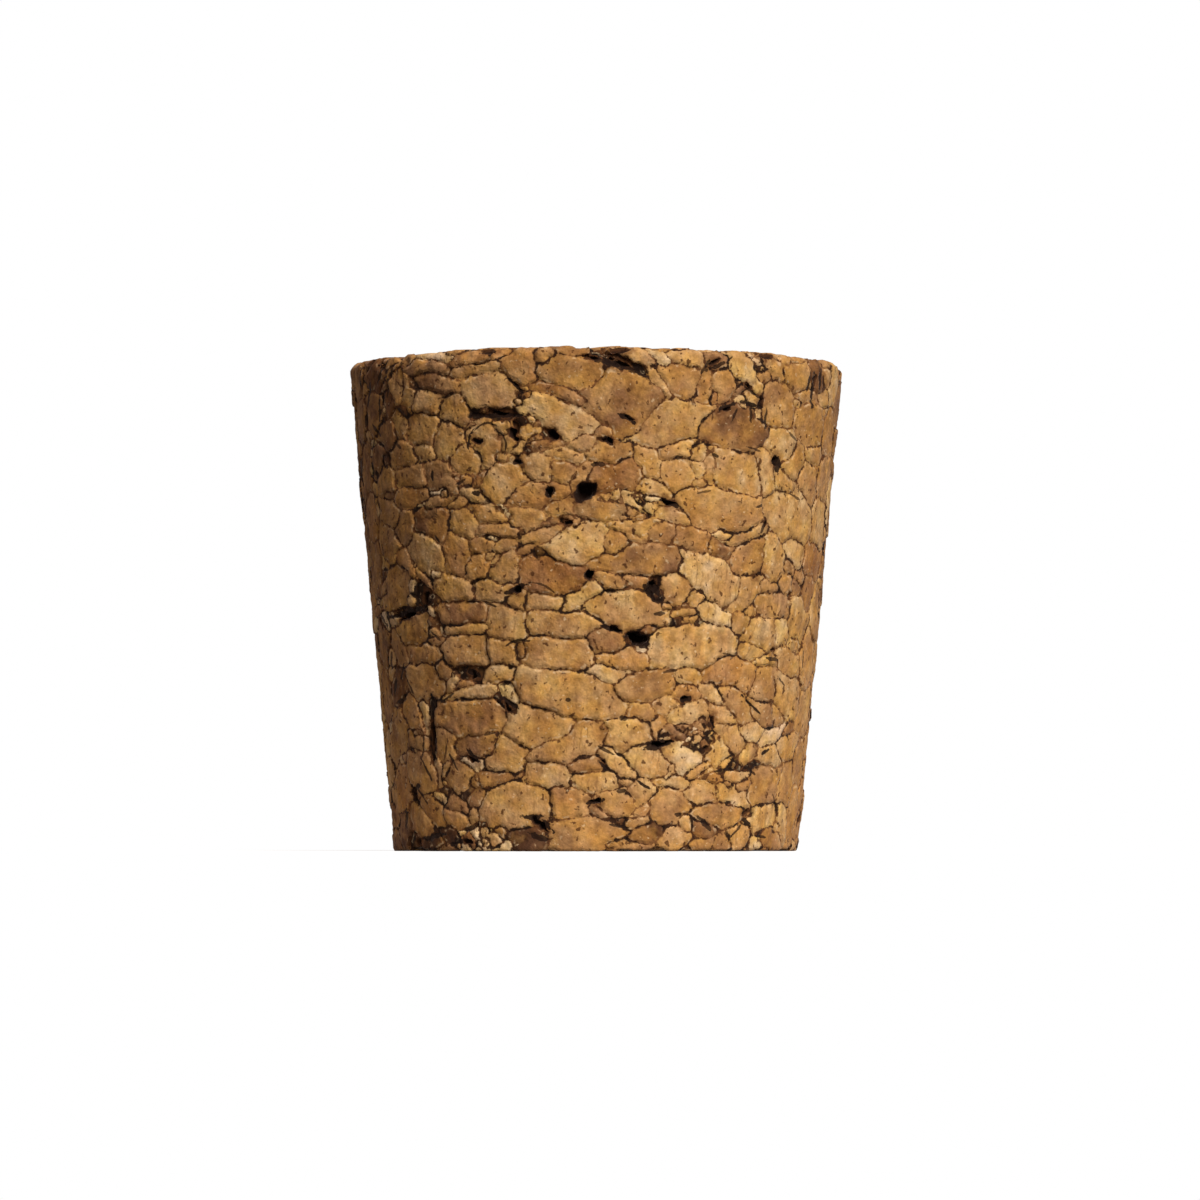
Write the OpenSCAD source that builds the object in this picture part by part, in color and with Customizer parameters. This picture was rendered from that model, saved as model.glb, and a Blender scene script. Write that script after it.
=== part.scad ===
// Tapered stopper of agglomerated cork: granules pressed with binder into one plug, turned to a
// taper and sawn square at both ends. The plug is one solid. Its surface is cut through the
// granules, so the gaps that the binder left between them open as small, angular voids.
// It stands on its small end: the origin is that end's centre, +Z runs up to the large end,
// and -Y is the front.

/* [Body] */
// Diameter of the large end, which stays out of the neck, to the corner that its rim rounds off
large_d = 28; // [24:0.5:50]
// Diameter of the small end, which enters the neck first, to its corner
small_d = 22.8; // [16:0.2:42]
// Height from end to end
stopper_h = 27.4; // [20:0.2:60]

/* [Rims] */
// Radius of the rubbed rim of the large end
large_rim_r = 0.5; // [0.2:0.05:1.5]
// Radius of the rim of the small end
small_rim_r = 0.2; // [0.1:0.05:1]

/* [Voids] */
// Depth of the deepest voids between the granules
void_depth = 1.1; // [0.4:0.1:2]
// Width of a void's floor as a share of its mouth
floor_share = 0.45; // [0.2:0.05:0.9]
// Number of voids scattered over the back of the side
back_voids = 30; // [0:1:40]
// Number of voids scattered over each end
end_voids = 10; // [0:1:14]
// Number of granules chipped out of the large rim
rim_chips = 9; // [0:1:12]
// Depth of a chip in the large rim
chip_depth = 0.3; // [0.1:0.05:0.6]

/* [Hidden] */
$fn = 96;
cork = [0.67, 0.49, 0.30];

large_r = large_d / 2;
small_r = small_d / 2;
// Angle between the side and the axis
taper = atan((large_r - small_r) / stopper_h);
// Straight pieces that make each rounded rim
rim_steps = 5;
// How far a cutter stands out of the surface that it cuts
proud = 0.5;
// Turn between neighbours in a scatter, which spreads any number of voids evenly
golden_angle = 137.5;
// Part of the turn, centred on the back, that the scatter covers, and its share of the height
back_sweep = 200;
back_heights = [0.05, 0.94];
// Least distance from a rim to the middle of a void in an end
end_margin = 1.5;
// Largest and smallest scattered void, along its length
scatter_length = [0.8, 2.3];
// Width of a scattered void as a share of its length, and its depth as a share of void_depth
scatter_width = [0.3, 0.75];
scatter_depth = [0.4, 1];
// Turn of a scattered void's length from level, on the side
scatter_turn = [-30, 60];
// Length of a chip along the rim, and its width across the rim
chip_length = [1.4, 3.2];
chip_width = 0.9;

// The voids of the front, each as [angle round from the front, height as a share of stopper_h,
// length, width, turn of its length from level, depth as a share of void_depth]
front_voids = [
    [-2.7, 0.713, 1.9, 1.2, 35, 1.0],
    [10.8, 0.423, 1.5, 1.0, -15, 1.0],
    [5, 0.438, 1.6, 0.4, -20, 0.6],
    [-49, 0.24, 2.8, 0.6, 86, 0.9],
    [17.5, 0.215, 1.8, 0.6, 8, 0.9],
    [-56, 0.473, 2.8, 0.6, 12, 0.9],
    [-48.5, 0.508, 1.5, 0.8, 65, 0.8],
    [-72, 0.465, 1.5, 0.5, -50, 0.6],
    [-10.2, 0.824, 1.5, 0.9, -8, 0.6],
    [-23.6, 0.867, 2.7, 0.4, 0, 0.6],
    [-19.3, 0.826, 1.2, 0.7, -75, 0.9],
    [-28.8, 0.816, 1.1, 0.5, -25, 0.5],
    [-10.8, 0.71, 0.75, 0.7, 0, 0.9],
    [47.7, 0.784, 0.9, 0.45, 88, 0.8],
    [61, 0.95, 1.5, 0.5, 80, 0.6],
    [66, 0.95, 1.3, 0.4, 84, 0.6],
    [-33.5, 0.35, 1.2, 0.6, -10, 0.6],
    [17.3, 0.694, 1.5, 0.45, -14, 0.7],
    [-1.5, 0.548, 1.0, 0.8, 40, 0.8],
    [14, 0.529, 0.8, 0.8, 20, 0.6],
    [-19.8, 0.516, 1.0, 0.5, 25, 0.6],
    [-15.5, 0.055, 2.0, 0.45, -38, 0.6],
    [-60, 0.02, 1.6, 0.6, 5, 0.5],
    [-18, 0.918, 1.4, 0.35, -42, 0.5],
    [23.3, 0.308, 0.9, 0.5, 5, 0.7],
    [32, 0.26, 1.2, 0.4, -70, 0.5],
    [45, 0.077, 1.3, 0.4, 40, 0.5],
    [51.5, 0.405, 1.1, 0.5, -10, 0.5],
    [31.5, 0.88, 1.9, 0.4, 3, 0.5],
    [41, 0.895, 1.4, 0.4, 75, 0.5],
    [5.4, 0.966, 2.8, 0.45, -20, 0.4],
    [-0.5, 0.978, 1.4, 0.35, -12, 0.4],
    [28, 0.973, 1.5, 0.5, 25, 0.4],
    [7.2, 0.862, 1.3, 0.3, -22, 0.4],
    [2.9, 0.814, 0.9, 0.4, -40, 0.5],
    [37.5, 0.925, 1.4, 0.35, -25, 0.5],
    [-18.8, 0.771, 0.9, 0.45, 0, 0.5],
    [45.5, 0.655, 0.9, 0.4, 65, 0.5],
    [43, 0.556, 1.1, 0.3, 18, 0.4],
    [-34.5, 0.182, 1.3, 0.4, -38, 0.5],
    [30, 0.207, 0.7, 0.6, 20, 0.4],
    [-0.5, 0.1, 1.2, 0.35, 14, 0.5],
    [-58.5, 0.117, 0.6, 0.5, 0, 0.6],
    [-23.5, 0.285, 1.6, 0.35, -42, 0.4],
    [-6.5, 0.655, 0.8, 0.4, 20, 0.5],
    [2.3, 0.178, 1.1, 0.3, -60, 0.5],
    [-38, 0.02, 1.4, 0.5, 0, 0.5],
];

// Radius of the side at a height
function side_r(z) = small_r + (large_r - small_r) * z / stopper_h;

// Centre, at height z, of the arc of radius r that runs into the side
function rim_centre(r, z) = [side_r(z) - r / cos(taper), z];

// Points along an arc about centre, from one angle to another
function arc(centre, r, from, to) =
    [for (i = [0:rim_steps]) let (a = from + (to - from) * i / rim_steps) centre + r * [cos(a), sin(a)]];

// Corners of an angular void, whose unevenness is set by seed
function void_outline(length, width, seed) =
    let (corners = 5 + seed % 3, reach = rands(0.72, 1.15, corners, seed))
        [for (i = [0:corners - 1]) let (a = 360 * i / corners)
            reach[i] / 2 * [length * cos(a), width * sin(a)]];

// A value between the two ends of a range
function within(range, share) = range[0] + (range[1] - range[0]) * share;

// Half the section of the plug, with both rims rounded
module plug_section() {
    small_rim = arc(rim_centre(small_rim_r, small_rim_r), small_rim_r, -90, -taper);
    large_rim = arc(rim_centre(large_rim_r, stopper_h - large_rim_r), large_rim_r, -taper, 90);
    polygon(concat([[0, 0]], small_rim, large_rim, [[0, stopper_h]]));
}

// Cutter for one void in a surface whose outward side is +Z: it narrows towards its floor
module void_cutter(length, width, depth, seed) {
    translate([0, 0, proud]) mirror([0, 0, 1])
        linear_extrude(height = proud + depth, scale = floor_share)
            polygon(void_outline(length, width, seed));
}

// Moves a cutter to the side, with its +X level and its +Y up the taper
module on_side(angle, z) {
    rotate([0, 0, angle]) translate([0, -side_r(z), z]) rotate([90 + taper, 0, 0]) children();
}

// Voids of the front, where each one has its own place and form
module front_void_cutters() {
    for (i = [0:len(front_voids) - 1]) {
        void = front_voids[i];
        on_side(void[0], void[1] * stopper_h) rotate([0, 0, void[4]])
            void_cutter(void[2], void[3], void_depth * void[5], i);
    }
}

// Voids scattered over the back
module back_void_cutters() {
    for (i = [0:1:back_voids - 1]) {
        random = rands(0, 1, 4, 100 + i);
        length = within(scatter_length, random[0]);
        angle = 180 + back_sweep * ((i * golden_angle / 360) % 1 - 0.5);
        z = stopper_h * within(back_heights, (i + 0.5) / back_voids);
        on_side(angle, z) rotate([0, 0, within(scatter_turn, random[2])])
            void_cutter(length, length * within(scatter_width, random[1]),
                void_depth * within(scatter_depth, random[3]), i);
    }
}

// Voids scattered over a flat end of radius r, in a spiral from its centre outwards
module end_void_cutters(r, first_seed) {
    for (i = [0:1:end_voids - 1]) {
        random = rands(0, 1, 4, first_seed + i);
        length = within(scatter_length, random[0]);
        rotate([0, 0, first_seed + i * golden_angle])
            translate([(r - end_margin) * sqrt((i + 0.5) / end_voids), 0, 0])
                rotate([0, 0, random[2] * 180])
                    void_cutter(length, length * within(scatter_width, random[1]),
                        void_depth * within(scatter_depth, random[3]), i);
    }
}

// Chips broken out of the large rim, each a shallow cut across its corner
module rim_chip_cutters() {
    for (i = [0:1:rim_chips - 1]) {
        random = rands(0, 1, 2, 300 + i);
        rotate([0, 0, (i + 0.6 * random[0]) * 360 / rim_chips])
            translate([0, -large_r, stopper_h]) rotate([45, 0, 0])
                translate([0, 0, -large_rim_r * (sqrt(2) - 1)])
                    void_cutter(within(chip_length, random[1]), chip_width, chip_depth, 40 + i);
    }
}

module stopper() {
    color(cork) difference() {
        rotate_extrude() plug_section();
        front_void_cutters();
        back_void_cutters();
        mirror([0, 0, 1]) end_void_cutters(small_r, 400);
        translate([0, 0, stopper_h]) end_void_cutters(large_r, 500);
        rim_chip_cutters();
    }
}

stopper();
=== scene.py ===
import math
import random

import bmesh
import bpy
import numpy as np
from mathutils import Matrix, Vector, kdtree, noise
from mathutils.bvhtree import BVHTree


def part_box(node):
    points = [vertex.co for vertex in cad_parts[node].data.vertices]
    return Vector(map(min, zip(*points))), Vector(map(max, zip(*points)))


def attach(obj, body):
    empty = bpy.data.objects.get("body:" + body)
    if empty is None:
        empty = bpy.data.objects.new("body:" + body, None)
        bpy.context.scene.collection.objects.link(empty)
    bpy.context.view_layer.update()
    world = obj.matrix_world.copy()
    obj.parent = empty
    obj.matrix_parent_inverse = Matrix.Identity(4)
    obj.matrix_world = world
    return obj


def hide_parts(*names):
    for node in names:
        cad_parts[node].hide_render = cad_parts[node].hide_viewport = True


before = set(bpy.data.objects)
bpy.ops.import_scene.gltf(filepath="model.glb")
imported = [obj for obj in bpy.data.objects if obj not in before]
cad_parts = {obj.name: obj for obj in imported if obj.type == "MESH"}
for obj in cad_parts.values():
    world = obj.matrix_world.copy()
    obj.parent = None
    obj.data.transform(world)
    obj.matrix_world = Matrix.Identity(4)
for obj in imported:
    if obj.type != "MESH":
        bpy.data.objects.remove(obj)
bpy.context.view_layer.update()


# ---- The cork stopper ----
# One plug of agglomerated cork: ground bark, pressed into a block with a little binder, turned to
# a taper and sawn square at both ends. Its surface is cut through the granules, which meet in thin
# dark seams and leave open voids between them. Sizes in this section are in millimetres.

MM_PER_M = 1000
foot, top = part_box("stopper")
HEIGHT = (top.z - foot.z) * MM_PER_M
# Radii of the side, carried on to the two end faces, and of the rims that round its corners
FOOT_R, TOP_R = 11.4, 14.0
FOOT_RIM, TOP_RIM = 0.2, 0.5
LEAN = math.atan2(TOP_R - FOOT_R, HEIGHT)


def side_radius(up):
    """Radius of the turned side at a height."""
    return FOOT_R + (TOP_R - FOOT_R) * up / HEIGHT


# The plug as it was built, which shows where its voids lie and how deep they are
work = bmesh.new()
work.from_mesh(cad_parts["stopper"].data)
bmesh.ops.remove_doubles(work, verts=work.verts, dist=1e-6)
bmesh.ops.scale(work, vec=(MM_PER_M,) * 3, verts=work.verts)
built = BVHTree.FromBMesh(work)
work.free()

# The skin is half the plug's section, turned about the axis in faces of about this size, small
# enough for the seams, and larger on the ends. Past the front's sweep, in degrees, it turns in
# larger steps, and its ends are thinned to about this many triangles.
SKIN, END_SKIN = 0.172, 0.33
FRONT_SWEEP, FRONT_STEPS, BACK_STEPS = 206, 270, 72
END_TRIANGLES = 14000
NEAR_END = 0.01


def rim(radius, up, first, last):
    """Points (radius, up) around a rounded rim, between two angles above level."""
    inner = side_radius(up) - radius / math.cos(LEAN)
    steps = max(2, round(radius * (last - first) / SKIN))
    angles = [first + (last - first) * step / steps for step in range(steps + 1)]
    return [(inner + radius * math.cos(angle), up + radius * math.sin(angle)) for angle in angles]


def between(first, last, spacing):
    """Evenly spaced points from first up to last, without last."""
    count = math.ceil(math.dist(first, last) / spacing)
    return [tuple(start + (end - start) * step / count for start, end in zip(first, last))
        for step in range(count)]


foot_rim = rim(FOOT_RIM, FOOT_RIM, -math.pi / 2, -LEAN)
top_rim = rim(TOP_RIM, HEIGHT - TOP_RIM, -LEAN, math.pi / 2)
section = between((0.0, 0.0), foot_rim[0], END_SKIN) + foot_rim[:-1]
section += between(foot_rim[-1], top_rim[0], SKIN) + top_rim[:-1]
section += between(top_rim[-1], (0.0, HEIGHT), END_SKIN) + [(0.0, HEIGHT)]
first_angle = math.radians(FRONT_SWEEP / 2)
out_x, out_y = -math.sin(first_angle), -math.cos(first_angle)
work = bmesh.new()
corners = [work.verts.new((radius * out_x, radius * out_y, up)) for radius, up in section]
last_line = corners + [work.edges.new(pair) for pair in zip(corners, corners[1:])]
for sweep, steps in ((FRONT_SWEEP, FRONT_STEPS), (360 - FRONT_SWEEP, BACK_STEPS)):
    spun = bmesh.ops.spin(work, geom=last_line, cent=(0, 0, 0), axis=(0, 0, 1),
        angle=math.radians(sweep), steps=steps)
    last_line = spun["geom_last"]
bmesh.ops.remove_doubles(work, verts=work.verts, dist=1e-4)
bmesh.ops.recalc_face_normals(work, faces=work.faces)
work.verts.index_update()


def ordered(face):
    """A face's vertices, counted from the one that comes first."""
    numbers = [vertex.index for vertex in face.verts]
    start = numbers.index(min(numbers))
    return numbers[start:] + numbers[:start]


# The spin's faces come in a different order each time, so they are sorted, which makes the same
# plug on every run
skin_mesh = bpy.data.meshes.new("skin")
skin_mesh.from_pydata([vertex.co for vertex in work.verts], [], sorted(map(ordered, work.faces)))
work.free()
plug = bpy.data.objects.new("cork_plug", skin_mesh)
bpy.context.scene.collection.objects.link(plug)

ends = plug.vertex_groups.new(name="ends")
on_ends = [vertex.index for vertex in skin_mesh.vertices
    if vertex.co.z < NEAR_END or vertex.co.z > HEIGHT - NEAR_END]
ends.add(on_ends, 1.0, "REPLACE")
whole = sum(len(face.vertices) - 2 for face in skin_mesh.polygons)
flat = sum(len(face.vertices) - 2 for face in skin_mesh.polygons if abs(face.normal.z) > 0.99)
thin = plug.modifiers.new("thin", "DECIMATE")
thin.vertex_group = "ends"
thin.ratio = (whole - flat + END_TRIANGLES) / whole
bpy.context.view_layer.update()
thinned = plug.evaluated_get(bpy.context.evaluated_depsgraph_get())
plug.data = bpy.data.meshes.new_from_object(thinned)
plug.data.name = "cork_plug"
plug.modifiers.clear()
plug.vertex_groups.clear()


# Without a seed, the noise that moves places has a pattern that comes from the clock
noise.seed_set(1)


def waver(places, per_mm, reach, offset=0.0):
    """A smooth random push for each place, up to about reach long. The offset picks the pattern."""
    shift = Vector((offset,) * 3)
    return reach * np.array([noise.noise_vector(Vector(place) * per_mm + shift) for place in places])


def uneven(places, per_mm, octaves=3):
    """A smooth random value for each place, mostly from -1 to 1."""
    return np.array([noise.fractal(Vector(place) * per_mm, 1.0, 2.0, octaves) for place in places])


# A ray looks for a void from this far above the skin, over this length. The first part of what it
# finds isn't counted, and nor is anything deeper than the last of these.
RAY_LIFT, RAY_LENGTH = 0.4, 3.0
VOID_LIP, VOID_FLOOR = 0.08, 1.4


def void_depth(places, outward):
    """How deep the voids are below each place on the skin, whose outlines are torn and not clean."""
    tear = waver(places, 1.5, 0.24) + waver(places, 3.8, 0.15, 3.0)
    tear -= outward * (tear * outward).sum(1)[:, None]
    near_end = np.minimum(places[:, 2], HEIGHT - places[:, 2])
    starts = places + tear * np.clip(near_end / 1.5, 0.1, 1)[:, None] + outward * RAY_LIFT
    depths = np.zeros(len(places))
    for number, (start, way) in enumerate(zip(starts, outward)):
        struck, _, _, length = built.ray_cast(Vector(start), -Vector(way), RAY_LENGTH)
        if struck is not None:
            depths[number] = length - RAY_LIFT
    return np.clip(depths - VOID_LIP, 0, VOID_FLOOR)


# The granules of the front, each as (round, up, half length, half width, turn, tone, seam). Round
# is measured from the middle of the front, to the right, along a circle of radius MEAN_R, about
# half way up, and up from the foot. Turn is from level, in degrees. Tone runs from 0, nearly
# black, to 1, pale, and seam from 0, hardly seen, to 1, open and dark. A tone holds the granule's
# own colour with painted shade in it: how much light its face catches, and near 0 the shade in
# the pits where granules have crumbled away.
FRONT_GRANULES = [
    # Under the large rim, from the left
    (-16.5, 26.2, 1.6, 0.9, 80, 0.4, 0.4), (-13.9, 26.1, 1.3, 0.9, 10, 0.2, 0.8),
    (-11.9, 25.6, 1.1, 0.7, -60, 0.6, 0.6), (-9.5, 26.4, 1.5, 0.45, -5, 0.35, 0.6),
    (-8.8, 26.95, 1.2, 0.25, -8, 0.95, 0.3), (-6.1, 26.8, 1.7, 0.35, 8, 0.45, 0.8),
    (-6.1, 26.1, 1.4, 0.35, 6, 0.6, 0.4), (-3.9, 26.2, 1.1, 0.9, 0, 0.55, 0.5),
    (-2.6, 26.6, 0.6, 0.5, 40, 0.45, 0.6), (-1.2, 27.1, 0.95, 0.3, -3, 0.4, 0.6),
    (-0.1, 26.8, 0.75, 0.17, -12, 0.0, 1.0), (-1.1, 26.0, 2.0, 0.8, -10, 0.5, 0.6),
    (1.2, 26.45, 1.45, 0.25, -20, 0.0, 1.0), (0.8, 26.1, 0.9, 0.22, -10, 0.7, 0.5),
    (1.9, 27.1, 1.5, 0.4, -25, 0.6, 0.7), (3.2, 26.9, 1.0, 0.33, -50, 0.85, 0.3),
    (3.2, 25.6, 1.1, 0.3, -52, 0.65, 0.5), (4.4, 25.7, 1.1, 0.85, -20, 0.47, 0.6),
    (4.7, 26.9, 1.0, 0.4, 3, 0.62, 0.3), (6.3, 26.95, 0.9, 0.4, 0, 0.3, 1.0),
    (8.1, 26.3, 1.6, 0.6, -38, 0.75, 0.7), (6.8, 25.5, 0.8, 0.75, 30, 0.6, 0.7),
    (5.6, 25.2, 0.7, 0.6, -20, 0.55, 0.5), (9.9, 26.7, 1.1, 0.5, -38, 0.5, 0.8),
    (12.0, 26.4, 1.0, 0.8, -10, 0.5, 0.6), (14.1, 26.6, 0.9, 0.75, 80, 0.25, 1.0),
    (16.6, 26.4, 1.3, 0.9, 80, 0.75, 0.3), (8.5, 25.1, 1.0, 0.3, -25, 0.7, 1.0),
    # A little lower
    (-16.6, 23.8, 1.3, 1.2, 80, 0.35, 0.4), (-14.2, 24.2, 1.3, 1.1, 60, 0.35, 0.7),
    (-12.7, 24.6, 0.9, 0.6, 75, 0.2, 0.8), (-10.9, 24.9, 0.8, 0.45, -60, 0.62, 0.5),
    (-8.7, 25.5, 1.3, 0.5, -15, 0.4, 0.7), (-9.4, 24.4, 1.0, 0.5, 8, 0.62, 0.8),
    (-7.7, 23.9, 1.15, 0.75, -30, 0.55, 0.7), (-5.5, 25.0, 1.6, 1.0, -8, 0.62, 0.5),
    (-5.4, 23.6, 1.3, 0.3, 0, 0.05, 1.0), (-1.9, 24.8, 1.3, 0.4, -22, 0.38, 0.6),
    (-1.8, 23.5, 2.3, 0.95, -20, 0.72, 0.3), (1.4, 24.5, 2.2, 1.6, -5, 0.45, 0.5),
    (4.0, 23.4, 2.3, 1.1, 14, 0.6, 0.5), (6.2, 24.9, 0.5, 0.3, 30, 0.5, 1.0),
    (7.6, 23.2, 1.85, 1.25, 0, 0.36, 1.0),
    (10.4, 24.8, 1.4, 1.2, -10, 0.5, 0.5), (13.2, 25.3, 1.0, 0.45, 0, 0.55, 0.4),
    (13.7, 24.0, 1.5, 1.1, -20, 0.46, 0.5), (16.6, 23.6, 1.6, 1.1, 80, 0.5, 0.5),
    (-11.6, 23.4, 0.9, 0.6, -40, 0.55, 0.6), (-9.9, 23.0, 1.25, 0.85, -15, 0.53, 0.4),
    (-13.2, 22.9, 1.2, 0.7, 20, 0.3, 0.6), (-8.2, 22.3, 1.15, 1.0, -10, 0.64, 0.5),
    (-6.0, 22.1, 1.15, 0.8, -38, 0.58, 1.0), (-4.9, 23.0, 0.8, 0.3, -15, 0.6, 0.7),
    (-4.2, 22.8, 0.4, 0.4, 90, 0.0, 1.0), (-4.5, 22.1, 0.6, 0.5, 30, 0.65, 0.8),
    (-3.6, 22.7, 0.7, 0.6, 0, 0.57, 0.4), (-2.3, 22.6, 0.7, 0.4, 0, 0.05, 1.0),
    (-2.7, 22.0, 1.1, 0.35, 3, 0.4, 0.4), (-0.7, 22.15, 0.85, 0.5, 20, 0.62, 0.5),
    (0.4, 22.85, 0.65, 0.33, -5, 0.45, 0.7), (0.7, 21.65, 1.3, 0.6, 5, 0.52, 0.6),
    (0.65, 22.3, 0.4, 0.18, -40, 0.0, 1.0), (10.9, 22.6, 1.5, 0.75, -8, 0.67, 0.4),
    # Two thirds up
    (-16.4, 21.0, 1.6, 1.0, 85, 0.4, 0.4), (-14.2, 21.6, 1.1, 0.8, 60, 0.3, 0.8),
    (-11.9, 21.5, 1.2, 0.65, 12, 0.6, 0.5), (-9.8, 21.7, 0.65, 0.5, -10, 0.68, 0.6),
    (-7.0, 21.3, 1.35, 0.8, -15, 0.7, 0.4), (-4.2, 21.1, 0.4, 0.22, 0, 0.0, 1.0),
    (-1.7, 21.5, 1.2, 0.5, -10, 0.68, 0.4), (-3.2, 20.9, 1.0, 0.75, -5, 0.57, 0.3),
    (-1.7, 20.6, 0.8, 0.5, -30, 0.5, 0.5), (-0.7, 20.4, 0.7, 0.3, 62, 0.68, 0.5),
    (1.1, 20.4, 1.35, 0.85, 8, 0.33, 0.7), (2.75, 21.1, 0.9, 0.6, -62, 0.66, 0.6),
    (2.9, 19.9, 0.8, 0.38, -15, 0.66, 0.5), (4.3, 20.7, 1.1, 0.75, 0, 0.7, 0.4),
    (4.3, 21.9, 1.0, 0.4, 8, 0.62, 0.7), (5.4, 21.9, 0.5, 0.4, 0, 0.75, 0.6),
    (6.2, 21.2, 0.9, 0.35, 85, 0.65, 0.3), (8.0, 20.9, 1.6, 1.15, -10, 0.64, 0.3),
    (9.8, 21.1, 1.3, 0.55, -72, 0.64, 0.3), (12.2, 21.5, 0.9, 0.7, 20, 0.62, 0.5),
    (14.4, 22.2, 0.9, 0.5, 0, 0.62, 0.5), (13.9, 20.8, 1.2, 0.9, -20, 0.62, 0.5),
    (16.6, 21.0, 1.3, 1.2, 85, 0.6, 0.4), (-13.5, 20.4, 1.1, 0.8, 10, 0.5, 0.4),
    (-11.3, 20.5, 1.4, 0.55, 5, 0.56, 0.4), (-8.9, 20.4, 1.2, 0.8, -25, 0.52, 0.4),
    (-9.5, 20.3, 0.3, 0.12, 85, 0.0, 1.0), (-6.2, 20.4, 0.8, 0.35, 48, 0.28, 0.4),
    (-4.9, 20.1, 1.25, 0.9, -8, 0.62, 0.6), (11.8, 20.4, 0.9, 0.5, -10, 0.7, 0.4),
    (-16.2, 18.4, 1.5, 1.0, 85, 0.45, 0.3), (-13.6, 18.6, 1.0, 0.8, 0, 0.52, 0.5),
    (-11.4, 19.2, 1.5, 0.5, 0, 0.54, 0.5), (-9.4, 18.9, 1.1, 0.35, 10, 0.5, 0.7),
    (-6.5, 19.3, 0.9, 0.35, -30, 0.65, 0.8), (-3.2, 19.2, 1.7, 0.75, -6, 0.52, 0.4),
    (1.9, 19.0, 0.85, 0.33, -45, 0.74, 0.6), (2.9, 18.75, 0.6, 0.4, 0, 0.74, 0.6),
    (7.2, 18.7, 2.5, 1.15, -4, 0.56, 0.7), (12.2, 18.7, 2.2, 1.15, -15, 0.68, 0.4),
    (0.3, 18.6, 1.4, 0.65, -8, 0.5, 0.4), (4.0, 18.55, 0.6, 0.12, 0, 0.95, 0.8),
    # The middle
    (-9.7, 17.8, 1.4, 0.65, -3, 0.33, 0.9), (-12.0, 17.7, 0.9, 0.6, 20, 0.5, 0.6),
    (-14.0, 16.9, 1.2, 0.8, -20, 0.5, 0.6), (-16.4, 15.6, 1.7, 1.1, 85, 0.4, 0.3),
    (-7.5, 17.8, 0.95, 0.75, 0, 0.6, 0.5), (-6.0, 18.3, 1.2, 0.55, -8, 0.62, 0.4),
    (-4.8, 18.3, 0.75, 0.13, -50, 1.0, 0.5), (-3.7, 18.1, 1.1, 0.75, -20, 0.48, 0.5),
    (-2.1, 18.7, 1.1, 0.5, 0, 0.54, 0.6), (-5.3, 17.4, 1.5, 0.33, 0, 0.45, 0.9),
    (-2.8, 17.2, 1.2, 0.4, 15, 0.56, 0.7), (-1.45, 17.95, 0.3, 0.2, 20, 0.0, 1.0),
    (-1.0, 16.7, 1.9, 1.0, 18, 0.67, 0.5), (1.7, 18.5, 0.55, 0.35, 0, 0.5, 0.7),
    (1.5, 17.6, 1.1, 0.4, -25, 0.64, 0.4), (1.0, 16.8, 0.8, 0.65, -30, 0.5, 0.6),
    (2.5, 17.6, 0.8, 0.45, 15, 0.62, 0.3), (3.6, 17.4, 0.9, 0.5, -8, 0.52, 0.5),
    (4.2, 18.3, 1.4, 0.4, -18, 0.66, 0.4), (5.3, 17.0, 1.2, 0.85, -30, 0.53, 0.4),
    (7.3, 17.4, 0.55, 0.35, -15, 0.8, 0.6), (8.7, 17.5, 1.3, 0.38, 22, 0.62, 0.7),
    (7.0, 16.6, 0.95, 0.45, -5, 0.36, 0.7), (9.0, 16.2, 1.3, 0.95, 10, 0.62, 0.7),
    (11.0, 16.3, 1.2, 1.0, -60, 0.62, 0.3), (12.9, 16.9, 1.3, 0.6, -20, 0.7, 0.6),
    (16.3, 18.6, 1.5, 1.2, 85, 0.62, 0.5), (15.5, 16.4, 1.5, 1.0, 10, 0.42, 0.4),
    (-10.4, 16.2, 1.35, 1.15, -30, 0.67, 0.6), (-8.1, 16.1, 1.2, 0.85, 85, 0.55, 0.5),
    (-12.4, 15.8, 1.0, 0.45, -40, 0.45, 0.6), (-10.8, 15.0, 0.9, 0.2, -42, 0.5, 0.9),
    (-5.6, 16.5, 1.3, 0.38, 0, 0.52, 0.8), (-6.9, 15.2, 0.95, 0.6, 30, 0.66, 0.6),
    (-5.0, 15.3, 1.2, 0.7, 52, 0.68, 0.5), (-2.5, 15.0, 1.9, 1.0, -15, 0.32, 0.7),
    (2.7, 15.9, 2.4, 0.8, 5, 0.4, 0.6), (0.8, 14.6, 0.85, 0.38, -10, 0.5, 1.0),
    (2.2, 14.75, 0.7, 0.25, -15, 0.5, 1.0), (3.15, 14.5, 0.3, 0.35, 0, 0.0, 1.0),
    (4.5, 14.3, 0.9, 0.75, -40, 0.62, 0.5), (6.6, 15.2, 2.4, 1.0, -33, 0.74, 0.5),
    (9.0, 14.4, 1.1, 0.8, 58, 0.68, 0.6), (10.6, 14.8, 0.9, 0.38, -12, 0.48, 0.7),
    (12.2, 14.8, 0.7, 0.4, -20, 0.62, 0.6), (12.7, 14.5, 0.2, 0.2, 0, 0.0, 1.0),
    (15.1, 14.7, 1.4, 0.9, 70, 0.4, 0.5), (17.0, 13.5, 1.6, 0.9, 85, 0.55, 0.3),
    # Below the middle
    (-13.4, 14.4, 1.5, 1.1, 20, 0.5, 0.8), (-11.8, 14.4, 0.35, 0.35, 0, 1.0, 0.9),
    (-10.9, 13.8, 0.55, 0.55, 60, 0.0, 0.9), (-16.6, 14.6, 0.6, 0.3, 80, 0.9, 0.3),
    (-8.3, 14.2, 1.5, 0.65, -5, 0.52, 0.7), (-6.1, 14.2, 1.1, 0.55, -15, 0.7, 0.8),
    (-4.4, 13.5, 0.5, 0.38, 0, 0.68, 0.8), (-2.8, 13.5, 1.2, 0.35, 5, 0.62, 0.5),
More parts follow.
